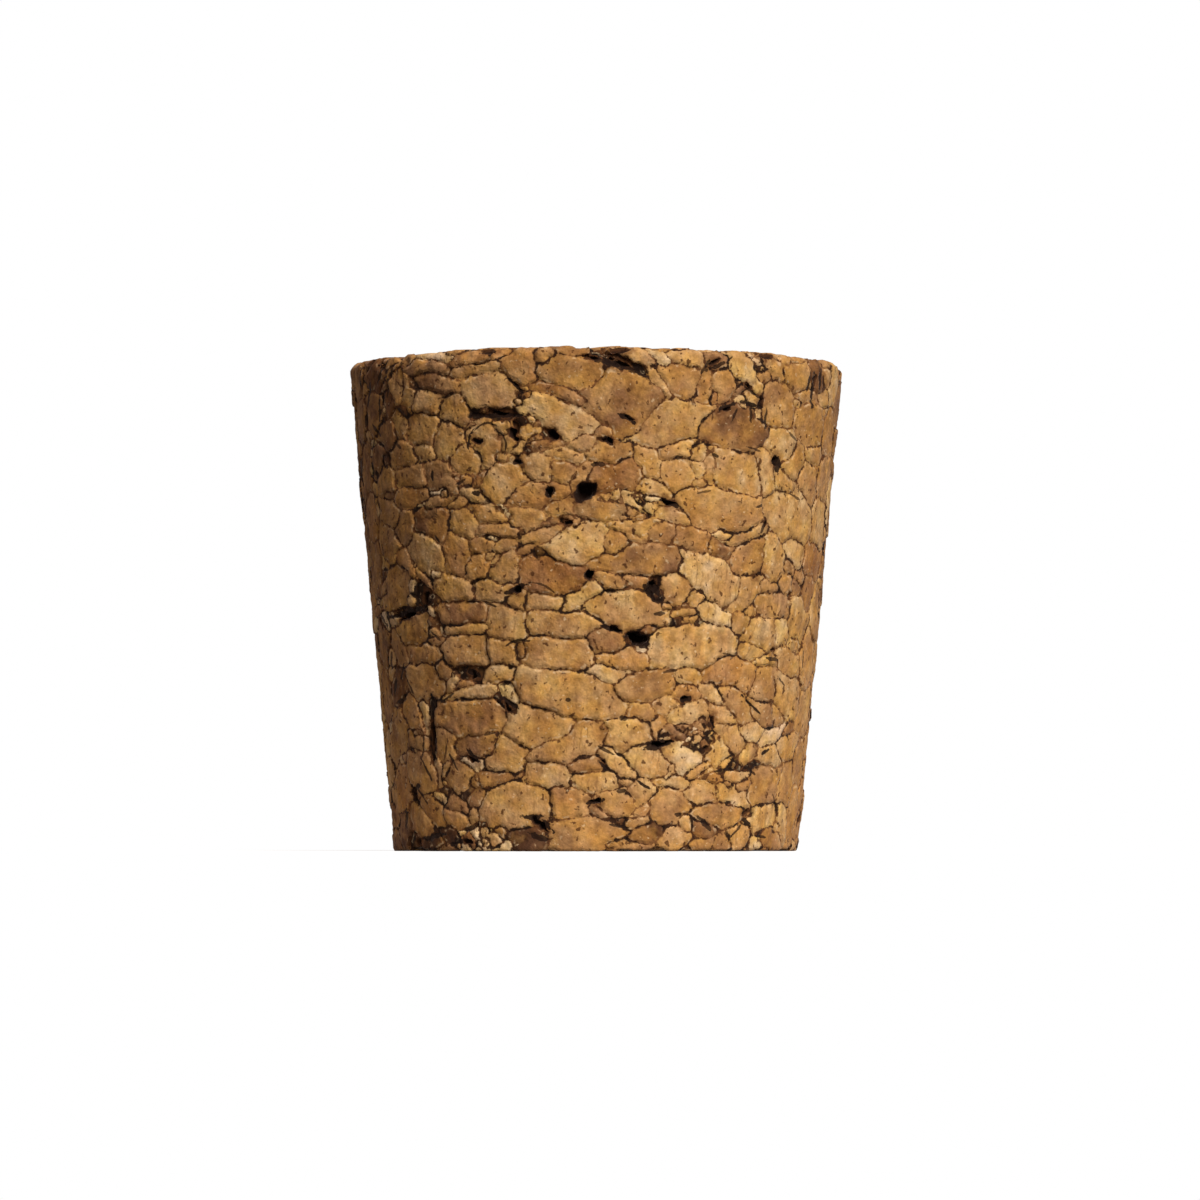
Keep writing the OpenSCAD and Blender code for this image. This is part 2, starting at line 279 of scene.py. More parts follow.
    (-0.7, 13.9, 1.3, 0.45, 32, 0.74, 0.7), (2.0, 13.1, 2.1, 0.95, -2, 0.64, 0.9),
    (4.7, 13.0, 0.9, 0.3, 8, 0.64, 0.6), (5.0, 12.6, 0.8, 0.2, 12, 0.6, 0.7),
    (7.0, 12.9, 1.0, 0.5, -12, 0.8, 0.6), (8.8, 12.7, 0.75, 0.65, 50, 0.64, 0.6),
    (9.6, 13.4, 0.6, 0.4, 0, 0.6, 0.5), (11.2, 13.6, 1.5, 0.75, 5, 0.58, 0.6),
    (14.2, 13.0, 1.3, 1.3, 0, 0.7, 0.4), (-15.5, 12.7, 0.8, 0.25, -25, 0.9, 1.0),
    (-12.0, 12.0, 1.6, 0.95, 5, 0.48, 0.7), (-10.1, 12.8, 0.7, 0.14, -55, 0.9, 0.6),
    (-7.9, 12.9, 1.7, 0.65, 0, 0.38, 0.8), (-7.5, 12.0, 1.4, 0.3, 0, 0.6, 0.8),
    (-5.1, 12.3, 1.1, 0.85, 0, 0.62, 0.4), (-1.9, 12.2, 2.2, 0.75, -3, 0.57, 0.7),
    (0.5, 11.4, 1.1, 0.7, -15, 0.46, 0.5), (2.9, 12.1, 0.7, 0.4, 35, 0.25, 1.0),
    (2.4, 11.6, 0.55, 0.38, -15, 0.0, 1.0), (2.6, 11.0, 0.33, 0.25, 30, 1.0, 0.6),
    (1.6, 10.5, 1.4, 0.48, -3, 0.68, 0.6), (5.6, 11.3, 2.7, 1.3, 6, 0.66, 0.6),
    (10.4, 12.2, 1.5, 0.85, 12, 0.64, 0.5), (12.1, 12.5, 1.1, 0.65, -42, 0.74, 0.4),
    (13.9, 11.7, 0.8, 0.7, 0, 0.62, 0.5), (9.7, 11.3, 1.1, 0.6, 0, 0.58, 0.4),
    (11.0, 10.6, 0.95, 0.35, 0, 0.74, 1.0), (13.5, 10.7, 0.9, 0.8, 0, 0.6, 0.4),
    (16.3, 10.9, 1.6, 1.3, 85, 0.66, 0.3), (-16.3, 11.2, 1.4, 1.0, 85, 0.35, 0.5),
    (-13.7, 11.0, 1.0, 0.7, -30, 0.47, 0.5), (-11.3, 10.7, 1.4, 0.55, -12, 0.54, 0.6),
    (-7.9, 10.8, 1.45, 0.85, -5, 0.52, 0.7), (-5.3, 10.7, 1.05, 0.6, -15, 0.64, 0.8),
    (-4.2, 10.7, 0.6, 0.5, 0, 0.5, 0.4), (-2.1, 10.8, 1.9, 0.95, -3, 0.53, 0.6),
    # The lower third
    (0.8, 9.7, 1.15, 0.36, -8, 0.75, 0.6), (2.9, 9.1, 1.7, 0.75, 8, 0.47, 0.6),
    (8.5, 9.8, 2.0, 0.9, -8, 0.52, 0.7), (10.9, 9.3, 1.3, 0.95, 0, 0.5, 0.6),
    (13.6, 8.8, 1.5, 1.2, 0, 0.63, 0.3), (16.6, 8.0, 1.5, 1.2, 85, 0.6, 0.3),
    (-16.5, 8.3, 1.7, 0.9, 85, 0.35, 0.4), (-14.0, 8.8, 1.0, 0.9, 0, 0.15, 0.8),
    (-11.3, 9.2, 1.5, 0.95, 0, 0.48, 0.6), (-7.6, 9.6, 0.7, 0.45, -10, 0.05, 0.8),
    (-5.6, 9.5, 0.9, 0.45, 10, 0.64, 0.8), (-7.5, 8.5, 1.5, 0.33, 8, 0.72, 1.0),
    (-5.25, 8.6, 0.5, 0.4, 0, 0.82, 0.8), (-5.2, 7.8, 0.8, 0.2, -42, 0.1, 1.0),
    (-12.9, 7.6, 1.2, 0.65, -50, 0.48, 0.7), (-11.5, 7.6, 0.45, 0.15, -75, 0.8, 0.8),
    (-7.9, 7.1, 2.6, 0.95, 0, 0.48, 0.7), (-1.5, 8.5, 3.1, 1.05, -12, 0.62, 0.7),
    (-3.3, 6.7, 1.5, 1.05, 12, 0.58, 0.6), (-1.3, 5.8, 2.1, 0.8, 22, 0.54, 0.6),
    (1.8, 6.4, 1.6, 0.85, 3, 0.64, 0.7), (2.6, 7.55, 1.0, 0.42, -5, 0.62, 0.4),
    (3.8, 7.8, 0.8, 0.35, 15, 0.57, 0.4), (3.5, 6.9, 0.7, 0.35, 75, 0.64, 0.5),
    (5.7, 7.6, 1.4, 0.42, 12, 0.7, 0.8), (4.7, 6.5, 0.9, 0.42, -12, 0.38, 1.0),
    (4.9, 5.4, 0.85, 0.75, 0, 0.76, 0.6), (3.2, 5.1, 1.5, 0.8, -15, 0.68, 0.6),
    (1.2, 4.8, 1.2, 0.42, -42, 0.66, 0.9), (-0.7, 4.6, 1.0, 0.48, 12, 0.4, 0.7),
    (-9.9, 5.8, 0.9, 0.8, 80, 0.5, 0.4), (-7.3, 5.7, 1.5, 0.65, 0, 0.4, 1.0),
    (-7.8, 4.75, 0.33, 0.28, 0, 0.95, 0.6), (-5.4, 4.9, 1.2, 0.8, 12, 0.58, 0.6),
    (-12.6, 5.8, 0.9, 0.45, -30, 0.44, 0.9), (-14.9, 6.1, 1.6, 0.9, 60, 0.5, 0.5),
    (8.7, 8.5, 1.6, 0.6, -40, 0.56, 0.5), (7.2, 8.6, 0.8, 0.35, -38, 0.64, 0.7),
    (11.0, 7.9, 1.1, 0.55, -22, 0.46, 0.7), (7.9, 7.5, 1.1, 0.5, -36, 0.63, 0.5),
    (9.9, 6.75, 0.9, 0.5, -15, 0.7, 0.8), (11.9, 6.6, 0.95, 0.33, 28, 0.92, 0.8),
    (12.5, 7.7, 0.7, 0.6, 0, 0.68, 0.4), (8.6, 6.5, 1.2, 0.7, -48, 0.62, 0.5),
    (6.0, 6.7, 0.6, 0.3, -15, 0.5, 0.9), (6.6, 5.8, 0.4, 0.35, 0, 0.3, 0.8),
    (7.6, 5.5, 0.9, 0.75, 10, 0.72, 0.5), (9.9, 5.5, 0.8, 0.5, 50, 0.65, 0.7),
    (12.1, 5.4, 1.3, 0.55, -8, 0.62, 0.4), (14.2, 6.0, 1.3, 0.7, 20, 0.62, 0.5),
    (16.4, 5.2, 1.6, 1.1, 85, 0.5, 0.4), (9.0, 4.4, 1.1, 0.45, 0, 0.7, 0.8),
    (6.3, 4.5, 1.0, 0.28, 35, 0.66, 1.0), (7.4, 4.2, 0.7, 0.28, -20, 0.62, 0.5),
    # Near the foot
    (-12.2, 4.1, 1.5, 1.1, -35, 0.5, 0.5), (-10.6, 4.1, 0.9, 0.28, 95, 0.5, 0.9),
    (-15.0, 3.2, 1.5, 1.0, 70, 0.4, 0.4), (-13.0, 3.2, 0.3, 0.22, 0, 0.0, 1.0),
    (-8.9, 3.8, 1.0, 0.85, 0, 0.45, 0.6), (-6.0, 3.9, 1.8, 0.45, 12, 0.46, 0.7),
    (-7.6, 2.7, 0.7, 0.65, 0, 0.42, 0.6), (-9.1, 2.5, 0.9, 0.45, -38, 0.46, 0.5),
    (-5.0, 2.4, 2.3, 1.2, 5, 0.64, 0.6), (-3.0, 4.0, 1.45, 0.8, -3, 0.64, 0.7),
    (0.1, 3.7, 1.4, 0.55, 6, 0.69, 0.6), (1.6, 3.8, 0.6, 0.28, 5, 0.62, 0.5),
    (-1.7, 2.6, 1.3, 0.9, -10, 0.56, 0.5), (2.6, 3.2, 0.75, 0.75, 0, 0.62, 0.6),
    (1.2, 2.7, 1.2, 0.72, 0, 0.5, 0.8), (0.2, 2.2, 0.75, 0.4, -38, 0.48, 0.6),
    (2.9, 2.2, 0.65, 0.38, 42, 0.62, 0.6), (4.6, 2.6, 1.25, 0.95, -15, 0.47, 0.7),
    (5.2, 3.75, 1.3, 0.35, -5, 0.64, 0.4), (6.5, 3.3, 1.3, 0.7, -18, 0.64, 0.5),
    (9.0, 3.2, 1.2, 0.5, -8, 0.76, 0.7), (11.9, 3.9, 1.4, 1.2, 30, 0.53, 0.4),
    (14.3, 4.0, 1.2, 0.9, 60, 0.52, 0.5), (8.0, 2.2, 1.5, 0.65, -8, 0.47, 0.7),
    (6.8, 1.3, 0.85, 0.48, -30, 0.22, 1.0), (11.6, 2.1, 1.2, 0.85, 18, 0.7, 0.6),
    (-11.3, 2.3, 1.2, 0.65, -42, 0.5, 0.6), (-12.9, 1.2, 1.2, 0.75, -30, 0.45, 0.6),
    (-9.0, 1.55, 1.3, 0.42, -18, 0.52, 0.6), (-15.2, 1.0, 1.1, 0.8, 70, 0.25, 0.6),
    (-6.8, 0.7, 1.15, 0.33, -32, 0.68, 0.8), (-4.4, 0.65, 1.15, 0.6, -5, 0.18, 0.8),
    (-0.6, 0.95, 1.85, 0.95, 5, 0.48, 0.5), (-2.1, 0.8, 0.5, 0.28, 15, 0.55, 0.6),
    (3.2, 0.95, 1.15, 0.45, 10, 0.25, 0.7), (2.3, 1.55, 0.9, 0.28, 14, 0.58, 0.8),
    (1.9, 0.3, 1.4, 0.28, -3, 0.52, 0.9), (4.8, 0.9, 0.8, 0.75, 0, 0.56, 0.5),
    (5.6, 1.7, 0.6, 0.5, 0, 0.62, 0.6), (7.6, 0.45, 1.3, 0.45, 3, 0.5, 0.6),
    (9.8, 1.0, 1.0, 0.75, 0, 0.52, 0.9), (11.2, 0.6, 0.7, 0.55, 0, 0.76, 0.5),
    (12.9, 0.8, 1.0, 0.55, -15, 0.5, 0.6), (14.2, 1.9, 1.2, 0.5, -62, 0.64, 0.8),
    (16.0, 2.2, 1.7, 0.8, 85, 0.5, 0.4), (-9.9, 0.6, 0.7, 0.35, 0, 0.15, 1.0),
    (-8.4, 0.6, 0.5, 0.4, 0, 0.28, 1.0), (-13.8, 0.4, 0.8, 0.35, 0, 0.05, 1.0),
    (-11.7, 0.35, 0.9, 0.33, 0, 0.12, 1.0), (-5.9, 1.0, 0.6, 0.28, -30, 0.5, 0.5),
    # Small ones and crumbs that fill what is left between the others
    (5.35, 9.7, 0.8, 0.45, 10, 0.6, 0.5), (-9.6, 9.6, 0.6, 0.45, -10, 0.5, 0.6),
    (5.4, 13.9, 0.5, 0.35, 20, 0.6, 0.5), (-10.3, 12.0, 0.5, 0.4, 0, 0.55, 0.6),
    (-15.0, 27.0, 1.0, 0.5, 0, 0.4, 0.4), (-12.6, 26.9, 0.9, 0.4, 10, 0.5, 0.5),
    (-10.8, 26.9, 0.7, 0.35, -20, 0.5, 0.5), (-17.6, 26.6, 0.8, 0.5, 80, 0.4, 0.4),
    (-12.5, 13.0, 2.1, 0.22, 8, 0.0, 1.0), (-10.9, 6.5, 1.7, 0.22, 85, 0.0, 1.0),
]
MEAN_R = 12.75
# The beds of granules fall a little towards the right, by this share of the way
BEDS_FALL = 0.02

# A granule is a chunk with flat sides, cut by this many pairs of planes, and then rounded by this
# share. Those of the front go at least this deep.
PLANES = 9
ROUNDED = 0.15
LEAST_DEPTH = 0.5
draw = random.Random(4)
middles, axes, sizes, tones, seams, facets = [], [], [], [], [], []


def add_granule(middle, directions, radii, tone, seam):
    """Adds a granule, a chunk with these three directions and radii."""
    middles.append(middle)
    axes.append([np.array(way) / radius for way, radius in zip(directions, radii)])
    sizes.append(math.sqrt(radii[0] * radii[1]))
    tones.append(tone)
    seams.append(seam)
    ways = np.array([[draw.gauss(0, 1) for _ in range(3)] for _ in range(PLANES)])
    facets.append(ways / np.linalg.norm(ways, axis=1)[:, None])


def on_side(angle, up):
    """A place on the side: (place, level direction, upward direction, outward direction)."""
    out = np.array((math.sin(angle), -math.cos(angle), 0.0))
    level = np.array((math.cos(angle), math.sin(angle), 0.0))
    rise = np.array((0.0, 0.0, 1.0)) + out * (TOP_R - FOOT_R) / HEIGHT
    rise /= np.linalg.norm(rise)
    return out * side_radius(up) + (0, 0, up), level, rise, np.cross(level, rise)


def on_front(across, up):
    """As on_side, for a place of the front given as in FRONT_GRANULES."""
    angle = across / MEAN_R
    return on_side(angle, up - BEDS_FALL * MEAN_R * math.sin(angle))


def turned(level, rise, turn):
    """The directions along and crosswise of what lies on the side, turned by an angle from level."""
    along = level * math.cos(turn) + rise * math.sin(turn)
    return along, rise * math.cos(turn) - level * math.sin(turn)


for across, up, length, width, turn, tone, seam in FRONT_GRANULES:
    middle, level, rise, out = on_front(across, up)
    along, crosswise = turned(level, rise, math.radians(turn))
    depth = max(math.sqrt(length * width), LEAST_DEPTH)
    add_granule(middle, (along, crosswise, out), (length, width, depth), tone, seam)

# Crumbs lie between the granules, thickly in a few zones: (round, up, reach, number of crumbs)
CRUMB_ZONES = [(8.7, 25.7, 1.6, 16), (-4.6, 23.0, 2.0, 14), (5.8, 5.9, 2.0, 20), (9.6, 4.2, 2.0, 14),
    (-12.3, 25.0, 2.2, 16), (1.8, 18.9, 1.3, 9), (-8.5, 1.2, 3.4, 16), (4.0, 12.7, 1.8, 8),
    (11.6, 1.4, 2.0, 9), (-4.0, 17.4, 2.2, 8), (-15.2, 20.5, 2.6, 10),
    (-15.2, 13.0, 2.6, 9), (-14.4, 5.5, 2.8, 9), (0.0, 14.0, 13.0, 24)]
CRUMB_TONES = (0.1, 0.3, 0.45, 0.6, 0.7, 0.85, 1.0)
CRUMB_EDGE = 0.2
for across, up, reach, crumbs in CRUMB_ZONES:
    for _ in range(crumbs):
        angle, out_by = draw.uniform(0, math.tau), reach * math.sqrt(draw.random())
        crumb_up = min(max(up + out_by * math.sin(angle), CRUMB_EDGE), HEIGHT - CRUMB_EDGE)
        middle, level, rise, out = on_front(across + out_by * math.cos(angle), crumb_up)
        turn, radius = draw.gauss(0, 0.6), draw.uniform(0.2, 0.42)
        radii = (radius * draw.uniform(1.1, 2.2), radius * draw.uniform(0.6, 1.0), radius)
        tone, seam = draw.choice(CRUMB_TONES), draw.uniform(0.35, 0.9)
        add_granule(middle, (*turned(level, rise, turn), out), radii, tone, seam)

# The rest are scattered, as (size, tries): large ones first, then smaller ones in the room that is
# left. In its own sizes, each has this much room and lies this far from the others of its size.
SCATTER = [(1.35, 500), (1.0, 1500), (0.7, 4000), (0.45, 7000)]
ROOM, APART = 0.62, 1.3
# Length, width and thickness of a scattered granule, as the least and the most of its size
SPANS = ((1.0, 1.7), (0.8, 1.2), (0.4, 0.85))
DEEPEST = 0.4
# A spot is compared with this many granules, the nearest by a first guess, in batches of spots
CANDIDATES, BATCH = 8, 1000


def shares(numbers, local):
    """How far out a spot lies in a granule, whose surface is at 1, and the way to its surface."""
    planes = np.array(facets)[numbers]
    reached = np.einsum("...kj,...j->...k", planes, local)
    nearest = np.abs(reached).argmax(-1)[..., None]
    peak = np.take_along_axis(reached, nearest, -1)
    way = np.take_along_axis(planes, nearest[..., None], -2)[..., 0, :] * np.sign(peak)
    straight = np.linalg.norm(local, axis=-1)[..., None] + 1e-9
    share = ROUNDED * straight + (1 - ROUNDED) * np.abs(peak)
    return share[..., 0], ROUNDED * local / straight + (1 - ROUNDED) * way


def nearest_two(spots):
    """For each spot: (number of its granule, number of the next one, how far outside its own)."""
    all_ways = np.array(axes).reshape(-1, 3).T
    starts = np.einsum("nij,nj->ni", np.array(axes), np.array(middles))
    size = np.array(sizes)
    own, following, outside = [], [], []
    for batch in np.array_split(spots, len(spots) // BATCH + 1):
        local = (batch @ all_ways).reshape(len(batch), -1, 3) - starts
        rough = (np.sqrt((local ** 2).sum(2)) - 1) * size
        close = np.argpartition(rough, CANDIDATES - 1, axis=1)[:, :CANDIDATES]
        local = np.take_along_axis(local, close[..., None], 1)
        away = (shares(close, local)[0] - 1) * size[close]
        order = np.argsort(away, axis=1)[:, :2]
        pair = np.take_along_axis(close, order, 1)
        own.append(pair[:, 0])
        following.append(pair[:, 1])
        outside.append(away.min(1))
    return np.concatenate(own), np.concatenate(following), np.concatenate(outside)


def random_spot():
    """A spot just under the surface, as likely on any part of it as on any other."""
    side_area = math.pi * (FOOT_R + TOP_R) * HEIGHT
    end_areas = math.pi * FOOT_R ** 2, math.pi * TOP_R ** 2
    pick = draw.uniform(0, side_area + sum(end_areas))
    angle, under = draw.uniform(0, math.tau), draw.uniform(0, DEEPEST)
    if pick < side_area:
        up = draw.uniform(0, HEIGHT)
        radius = side_radius(up) - under
        return (radius * math.cos(angle), radius * math.sin(angle), up)
    at_foot = pick < side_area + end_areas[0]
    radius = (FOOT_R if at_foot else TOP_R) * math.sqrt(draw.random())
    up = under if at_foot else HEIGHT - under
    return (radius * math.cos(angle), radius * math.sin(angle), up)


for size, tries in SCATTER:
    spots = np.array([random_spot() for _ in range(tries)])
    kept = []
    for spot in spots[nearest_two(spots)[2] > ROOM * size]:
        if not kept or np.linalg.norm(np.array(kept) - spot, axis=1).min() >= APART * size:
            kept.append(spot)
    for spot in kept:
        angle, tilt = draw.uniform(0, math.tau), draw.gauss(0, 0.3)
        level = np.array((-math.sin(angle), math.cos(angle), 0.0))
        along = np.array((math.cos(angle) * math.cos(tilt), math.sin(angle) * math.cos(tilt),
            math.sin(tilt)))
        length, width, thickness = [size * draw.uniform(*span) for span in SPANS]
        tone, seam = draw.choice(FRONT_GRANULES)[5:]
        tone = max(tone, 0.3 if size > 0.5 else 0.12)
        directions = (along, np.cross(along, level), level)
        add_granule(spot, directions, (length, thickness, width), tone, seam)

middles, axes, sizes = np.array(middles), np.array(axes), np.array(sizes)
tones, seams, facets = np.array(tones), np.array(seams), np.array(facets)


def distance(numbers, spots):
    """For each spot and granule: (how far outside it, the slope of that distance)."""
    local = np.einsum("nij,nj->ni", axes[numbers], spots - middles[numbers])
    share, way = shares(numbers, local)
    slope = np.einsum("nij,ni->nj", axes[numbers], way) * sizes[numbers][:, None]
    return (share - 1) * sizes[numbers], slope


def bent(spots):
    """The spots moved a little, which makes the granules' outlines uneven."""
    return spots + waver(spots, 0.8, 0.12) + waver(spots, 1.9, 0.1, 5.0) + waver(spots, 4.2, 0.06, 9.0)


# Each place of the skin finds its own granule and the next one, the way to the seam between the
# two, how strong that seam is, and how deep a void is there.
work = bmesh.new()
work.from_mesh(plug.data)
bmesh.ops.triangulate(work, faces=work.faces)
work.normal_update()
places = np.array([vertex.co for vertex in work.verts])
outward = np.array([vertex.normal for vertex in work.verts])
bent_places = bent(places)
own, following, _ = nearest_two(bent_places)
own_away, own_slope = distance(own, bent_places)
next_away, next_slope = distance(following, bent_places)
to_seam = (next_away - own_away) / (np.linalg.norm(next_slope - own_slope, axis=1) + 0.2)
strength = (seams[own] + seams[following]) / 2
depths = void_depth(places, outward)

# The skin's faces are split along the voids' outlines and along the seams, so that each face lies
# in one granule, or in a void. A cut is placed by its share of the way along an edge, which comes
# from the two distances at a seam, and from halving the way this often at a void's outline.
HALVINGS = 5
SEAM_SHARES, VOID_SHARES = (0.1, 0.9), (0.08, 0.92)
first_new = len(own)
edges = np.array([[vertex.index for vertex in edge.verts] for edge in work.edges])
is_open = depths > 0
across_outline = is_open[edges[:, 0]] != is_open[edges[:, 1]]
across_seam = (own[edges[:, 0]] != own[edges[:, 1]]) & ~across_outline & ~is_open[edges[:, 0]]
cut_share = np.zeros(len(edges))
start, end = edges[across_seam].T
lead = distance(own[end], bent_places[start])[0] - own_away[start]
lag = distance(own[start], bent_places[end])[0] - own_away[end]
cut_share[across_seam] = np.clip(lead / (lead + lag + 1e-9), *SEAM_SHARES)
start, end = edges[across_outline].T
shut = np.where(is_open[start], end, start)
gone = np.where(is_open[start], start, end)
low, high = np.zeros(len(start)), np.ones(len(start))
for _ in range(HALVINGS):
    half = (low + high) / 2
    probe = places[shut] + (places[gone] - places[shut]) * half[:, None]
    probe_out = outward[shut] + (outward[gone] - outward[shut]) * half[:, None]
    found = void_depth(probe, probe_out / np.linalg.norm(probe_out, axis=1)[:, None]) > 0
    low, high = np.where(found, low, half), np.where(found, half, high)
cut_share[across_outline] = np.clip(np.where(is_open[start], 1 - low, low), *VOID_SHARES)
work.edges.ensure_lookup_table()
crossing = [work.edges[number] for number in np.flatnonzero(across_outline | across_seam)]
cuts = {edge: float(cut_share[edge.index]) for edge in crossing}
bmesh.ops.subdivide_edges(work, edges=crossing, cuts=1, edge_percents=cuts)
bmesh.ops.triangulate(work, faces=[face for face in work.faces if len(face.verts) > 3])
work.verts.index_update()
work.faces.index_update()
work.normal_update()

# Each face now has one owner, the granule that it lies in, and is hollow where it lies in a void
owners = np.full(len(work.faces), -1)
hollow = np.zeros(len(work.faces), dtype=bool)
for face in work.faces:
    kept = [vertex.index for vertex in face.verts if vertex.index < first_new]
    if kept:
        owners[face.index] = own[kept[0]]
        hollow[face.index] = is_open[kept].any()
all_new = [face for face in work.faces if owners[face.index] < 0]
if all_new:
    numbers = [face.index for face in all_new]
    spots = np.array([face.calc_center_median() for face in all_new])
    facing = np.array([face.normal for face in all_new])
    owners[numbers] = nearest_two(bent(spots))[0]
    hollow[numbers] = void_depth(spots, facing) > 0

# Each granule is worn to its own level and slope, falls off a little towards its seams, and is
# rough. The seams are shallow grooves, and the darkest granules have crumbled away.
CRUMBLED_TONE, CRUMBLED_DEPTH = 0.08, 0.22
STEEPEST = 0.07
FALL, FALL_REACH = 0.02, 0.3
GROOVE, STRONG_GROOVE, VOID_EDGE = 0.03, 0.06, 0.02
# The painted shade round the voids reaches this far
VOID_SHADE_REACH = 2.0
levels = np.array([draw.uniform(-0.02, 0.035) for _ in sizes])
levels += CRUMBLED_DEPTH * (tones < CRUMBLED_TONE)
tilts = np.array([[draw.gauss(0, 0.035) for _ in range(3)] for _ in sizes])
count = len(work.verts)
spots = np.array([vertex.co for vertex in work.verts])
normals = np.array([vertex.normal for vertex in work.verts])
sunk = np.zeros(count)
# For the finish, each place has the way to its seam, the strength of the seam, and the depth of the
# void or, as a negative number, the way to the nearest void
seam_look = np.zeros((count, 3), dtype=np.float32)
outlines = kdtree.KDTree(count)
for vertex in work.verts:
    number = vertex.index
    touching = {owners[face.index] for face in vertex.link_faces}
    slopes = [float(tilts[granule] @ (spots[number] - middles[granule])) for granule in touching]
    worn = [levels[granule] + min(max(slope, -STEEPEST), STEEPEST)
        for granule, slope in zip(touching, slopes)]
    sunk[number] = sum(worn) / len(worn)
    if number < first_new:
        seam_look[number] = (to_seam[number], strength[number], depths[number])
        sunk[number] += FALL * max(0.0, 1 - to_seam[number] / FALL_REACH) ** 2
    else:
        dark = sum(seams[granule] for granule in touching) / len(touching)
        if any(hollow[face.index] for face in vertex.link_faces):
            outlines.insert(spots[number], number)
            sunk[number] += VOID_EDGE
        else:
            sunk[number] += GROOVE + STRONG_GROOVE * dark ** 2
        seam_look[number] = (0, 1.0 if len(touching) > 2 and dark > 0.5 else dark, 0)
outlines.balance()
for number in range(count):
    if seam_look[number, 2] == 0:
        seam_look[number, 2] = -min(outlines.find(spots[number])[2], VOID_SHADE_REACH)
sunk += 0.04 * np.clip(0.5 + uneven(spots, 2.4), 0, 1) + 0.03 * uneven(spots, 6.0, 2)

# Both rims are chipped, over this reach and by up to these depths
CHIP_REACH, TOP_CHIPS, FOOT_CHIPS = 0.8, 0.65, 0.14
under_side = side_radius(spots[:, 2]) - np.linalg.norm(spots[:, :2], axis=1)
under_end = np.minimum(spots[:, 2], HEIGHT - spots[:, 2])
chips = np.clip(1 - under_side / CHIP_REACH, 0, 1) * np.clip(1 - under_end / CHIP_REACH, 0, 1)
chips *= np.where(spots[:, 2] > HEIGHT / 2, TOP_CHIPS, FOOT_CHIPS)
sunk += chips * np.clip(uneven(spots, 0.9, 4) + 0.1, 0, 1)

# Before wear the granules stand this far out of the skin. The foot stays flat on the floor, and the
# top may stand this far above its height.
STAND, TOP_STAND = 0.02, 0.1
drop = np.maximum(seam_look[:, 2], 0)
finished = spots - normals * (sunk + drop - STAND)[:, None]
finished[:, 2] = np.clip(finished[:, 2], 0.0, HEIGHT + TOP_STAND)
for edge in work.edges:
    if len({hollow[face.index] for face in edge.link_faces}) > 1:
        edge.smooth = False
for vertex, spot in zip(work.verts, finished):
    vertex.co = spot / MM_PER_M
work.to_mesh(plug.data)
work.free()
